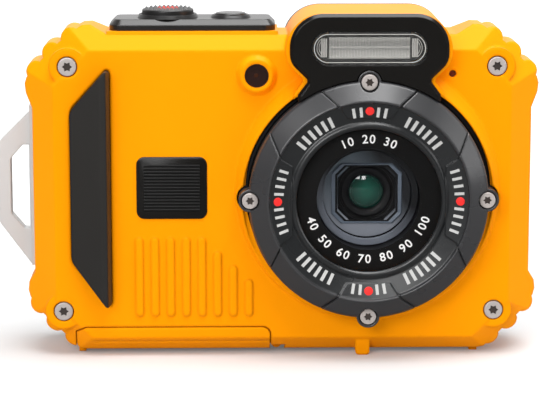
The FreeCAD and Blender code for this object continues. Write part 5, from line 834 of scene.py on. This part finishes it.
def flash_end_bars(cx, cz, half_w, half_h, side, back):
    """Clear upright bars and thin arcs over a dark end."""
    bars = []
    for offset in FLASH_BAR_OFFSETS:
        x = cx + side * offset
        bars.append(ridge(x - FLASH_BAR_WIDTH / 2, x + FLASH_BAR_WIDTH / 2, cz - 1.85, cz + 1.85, back + 0.32,
                          back + 0.2, True))
    turn = 0 if side > 0 else 180
    cap_x = cx + side * (half_w - half_h)
    for radius in FLASH_ARC_RADII:
        arc = arc_points(cap_x, cz, radius, turn - 50, turn + 50, 16)
        arc += reversed(arc_points(cap_x, cz, radius + FLASH_ARC_WIDTH, turn - 50, turn + 50, 16))
        bars.append(part_of(prism(arc, back + 0.2, back + 0.31)))
    return bars


def flash_fine_ribs(cx, cz, back):
    """Fine upright ribs on the back of the pane, over the bright field."""
    ribs = []
    pitch = 2 * FLASH_FIELD / FLASH_FINE_RIBS
    for i in range(FLASH_FINE_RIBS):
        x = cx - FLASH_FIELD + pitch * (i + 0.5)
        ribs.append(ridge(x - 0.12, x + 0.12, cz - 2.2, cz + 2.2, back + 0.14, back + 0.05, True))
    return ribs


def add_flash_parts():
    """Bright rim painted as a highlight round the flash pane, dark masks with clear bars at both ends and ribs
    over the reflector.
    """
    low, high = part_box("flash_window")
    half_w = (high.x - low.x) / 2 / MM - FLASH_RIM
    half_h = (high.z - low.z) / 2 / MM - FLASH_RIM
    cx, cz = node_centre("flash_window")
    front = low.y / MM
    back = high.y / MM
    rim = flash_rim_highlight_part(cx, cz, half_w, half_h, front)
    piece("flash_rim_highlight", mesh_from("flash_rim_highlight", [rim]), "flash_edge", "camera")
    masks = [flash_mask(cx, cz, half_w, half_h, side, back) for side in (-1, 1)]
    middle, half = FLASH_STRIP
    for side in (-1, 1):
        strip = prism(bar(cx, cz + side * middle, FLASH_FIELD + 0.1, half), back + 0.04, back + 0.3)
        masks.append(part_of(strip))
    piece("flash_masks", mesh_from("flash_masks", masks), "black_print", "camera")
    bars = []
    for side in (-1, 1):
        bars += flash_end_bars(cx, cz, half_w, half_h, side, back)
    for dz, half in FLASH_LINES:
        bars.append(ridge(cx - FLASH_FIELD, cx + FLASH_FIELD, cz + dz - half, cz + dz + half, back + 0.5,
                          back + 0.3, False))
    piece("flash_ribs", mesh_from("flash_ribs", bars), "flash_edge", "camera")
    fine = flash_fine_ribs(cx, cz, back)
    piece("flash_fine_ribs", mesh_from("flash_fine_ribs", fine), "rib_clear", "camera")


# Rear keys and shutter button

def rear_mark(name, outlines, node):
    """Slightly raised light figures on the rear face of a key."""
    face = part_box(node)[1].y / MM
    parts = [part_of(prism(outline, face - 0.02, face + 0.04)) for outline in outlines]
    piece(name, mesh_from(name, parts), "white_print", node)


def add_rear_marks():
    """Plain figures on the rear keys: bars, a triangle, arrows, plus and minus."""
    x, z = node_centre("menu_button")
    rear_mark("menu_marks", [bar(x, z + offset, 1.1, 0.16) for offset in (-0.7, 0, 0.7)], "menu_button")
    x, z = node_centre("playback_button")
    rear_mark("playback_mark", [triangle(x, z, 1.1, 180)], "playback_button")
    x, z = node_centre("nav_pad")
    low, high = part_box("nav_pad")
    reach = (high.x - low.x) / 2 / MM * 0.78
    arrows = []
    for turn in (0, 90, 180, 270):
        angle = math.radians(turn)
        arrows.append(triangle(x + reach * math.cos(angle), z + reach * math.sin(angle), 0.7, turn))
    rear_mark("nav_arrows", arrows, "nav_pad")
    x, z = node_centre("zoom_rocker")
    low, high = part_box("zoom_rocker")
    offset = (high.x - low.x) / MM * 0.32
    minus = x - offset
    plus = x + offset
    marks = [bar(minus, z, 0.9, 0.16), bar(plus, z, 0.9, 0.16), bar(plus, z + 0.53, 0.16, 0.37),
             bar(plus, z - 0.53, 0.16, 0.37)]
    rear_mark("rocker_marks", marks, "zoom_rocker")


def tooth(x, y, top):
    """Blunt pyramid on the shutter button."""
    half = TEETH_PITCH / 2 - TOOTH_GAP
    square = ((-1, -1), (1, -1), (1, 1), (-1, 1))
    verts = [mm(x + dx * half, y + dy * half, top - TOOTH_FOOT) for dx, dy in square]
    verts += [mm(x + dx * TOOTH_FLAT, y + dy * TOOTH_FLAT, top + TOOTH_RISE) for dx, dy in square]
    return verts, [(0, 1, 5, 4), (1, 2, 6, 5), (2, 3, 7, 6), (3, 0, 4, 7), (4, 5, 6, 7), (3, 2, 1, 0)]


def add_shutter_cap():
    """Toothed top of the shutter button: pyramids inside a circle, black with a red field in the middle."""
    low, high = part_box("shutter_button")
    x0 = (low.x + high.x) / 2 / MM
    top = high.z / MM
    black = []
    red = []
    for i in range(TEETH_COUNT):
        for j in range(TEETH_COUNT):
            dx = (i - TEETH_COUNT // 2) * TEETH_PITCH
            dy = (j - TEETH_COUNT // 2) * TEETH_PITCH
            reach = math.hypot(dx, dy)
            if reach <= TEETH_REACH:
                (red if reach < RED_REACH else black).append(tooth(x0 + dx, BUTTON_Y + dy, top))
    for name, teeth, material in (("shutter_teeth", black, "cap_black"), ("shutter_red_teeth", red, "red")):
        piece(name, mesh_from(name, teeth), material, "shutter_button", sharp=10)


# Studio

def floor_material():
    """Pale floor that keeps the shadow, glows with distance for the camera alone and is dim in reflections."""
    material, nodes, links, shader = new_material("studio_floor")
    place = nodes.new("ShaderNodeTexCoord")
    cloud = noise(nodes, links, place, CLOUD_SCALE)
    light_path = nodes.new("ShaderNodeLightPath")
    dim = nodes.new("ShaderNodeMix")
    dim.data_type = "RGBA"
    dim.inputs["B"].default_value = FLOOR_MIRRORED
    pale = mix_colours(nodes, links, cloud.outputs["Fac"], *FLOOR_TONES)
    links.new(pale, dim.inputs["A"])
    links.new(light_path.outputs["Is Glossy Ray"], dim.inputs["Factor"])
    links.new(dim.outputs["Result"], shader.inputs["Base Color"])
    shader.inputs["Roughness"].default_value = 0.6
    shader.inputs["Specular IOR Level"].default_value = 0.1
    distance = nodes.new("ShaderNodeVectorMath")
    distance.operation = "LENGTH"
    links.new(place.outputs["Object"], distance.inputs[0])
    only_camera = nodes.new("ShaderNodeMath")
    only_camera.operation = "MULTIPLY"
    links.new(spread(nodes, links, distance.outputs["Value"], *FLOOR_GLOW), only_camera.inputs[0])
    links.new(light_path.outputs["Is Camera Ray"], only_camera.inputs[1])
    glow = nodes.new("ShaderNodeEmission")
    links.new(only_camera.outputs["Value"], glow.inputs["Strength"])
    both = nodes.new("ShaderNodeAddShader")
    links.new(shader.outputs["BSDF"], both.inputs[0])
    links.new(glow.outputs["Emission"], both.inputs[1])
    links.new(both.outputs["Shader"], nodes["Material Output"].inputs["Surface"])
    return material


def add_floor():
    half = FLOOR_HALF
    mesh = bpy.data.meshes.new("studio_floor")
    corners = [(-half, -half, 0), (half, -half, 0), (half, half, 0), (-half, half, 0)]
    mesh.from_pydata(corners, [], [(0, 1, 2, 3)])
    mesh.materials.append(floor_material())
    floor = bpy.data.objects.new("studio_floor", mesh)
    bpy.context.scene.collection.objects.link(floor)


def add_light(name, place, target, size, power):
    light = bpy.data.lights.new(name, "AREA")
    light.shape = "RECTANGLE"
    light.size, light.size_y = size
    light.energy = power
    holder = bpy.data.objects.new(name, light)
    holder.location = place
    holder.rotation_euler = (Vector(target) - Vector(place)).to_track_quat("-Z", "Y").to_euler()
    bpy.context.scene.collection.objects.link(holder)
    return holder


def add_lights():
    """Soft lights; the glint panel shows only in reflections."""
    for name, settings in LIGHTS.items():
        holder = add_light(name, *settings)
        holder.visible_diffuse = name != "glint_panel"


def add_world():
    """White for the camera, half as bright as light, and from dark in front to pale behind in reflections."""
    world = bpy.data.worlds.new("studio")
    world.use_nodes = True
    nodes = world.node_tree.nodes
    links = world.node_tree.links
    background = nodes["Background"]
    background.inputs["Color"].default_value = (1, 1, 1, 1)
    light_path = nodes.new("ShaderNodeLightPath")
    split = nodes.new("ShaderNodeSeparateXYZ")
    links.new(nodes.new("ShaderNodeTexCoord").outputs["Generated"], split.inputs["Vector"])
    mirrored = nodes.new("ShaderNodeMix")
    links.new(spread(nodes, links, light_path.outputs["Is Camera Ray"], *WORLD_LIGHT), mirrored.inputs["A"])
    links.new(spread(nodes, links, split.outputs["Y"], *WORLD_MIRRORED), mirrored.inputs["B"])
    links.new(light_path.outputs["Is Glossy Ray"], mirrored.inputs["Factor"])
    links.new(mirrored.outputs["Result"], background.inputs["Strength"])
    bpy.context.scene.world = world


def add_camera():
    camera = bpy.data.cameras.new("photo_camera")
    camera.sensor_width = SENSOR
    camera.lens = FOCAL_PX / IMAGE_WIDTH * SENSOR
    camera.clip_start = 0.01
    camera.clip_end = 50
    holder = bpy.data.objects.new("photo_camera", camera)
    holder.location = mm(*CAMERA_PLACE)
    holder.rotation_euler = (math.pi / 2 - CAMERA_PITCH, 0, CAMERA_YAW)
    bpy.context.scene.collection.objects.link(holder)
    bpy.context.scene.camera = holder


bpy.context.scene.view_settings.view_transform = "Standard"
MADE = make_materials()
dress_nodes()
add_bezel_marks()
add_bezel_gap_shade()
add_lens_print()
add_lens_stack()
add_badge()
add_flash_parts()
add_mouth_frame()
add_lamp_rings()
add_screw_socket_shade()
add_strap_gasket()
add_rear_marks()
add_shutter_cap()
add_floor()
add_lights()
add_world()
add_camera()
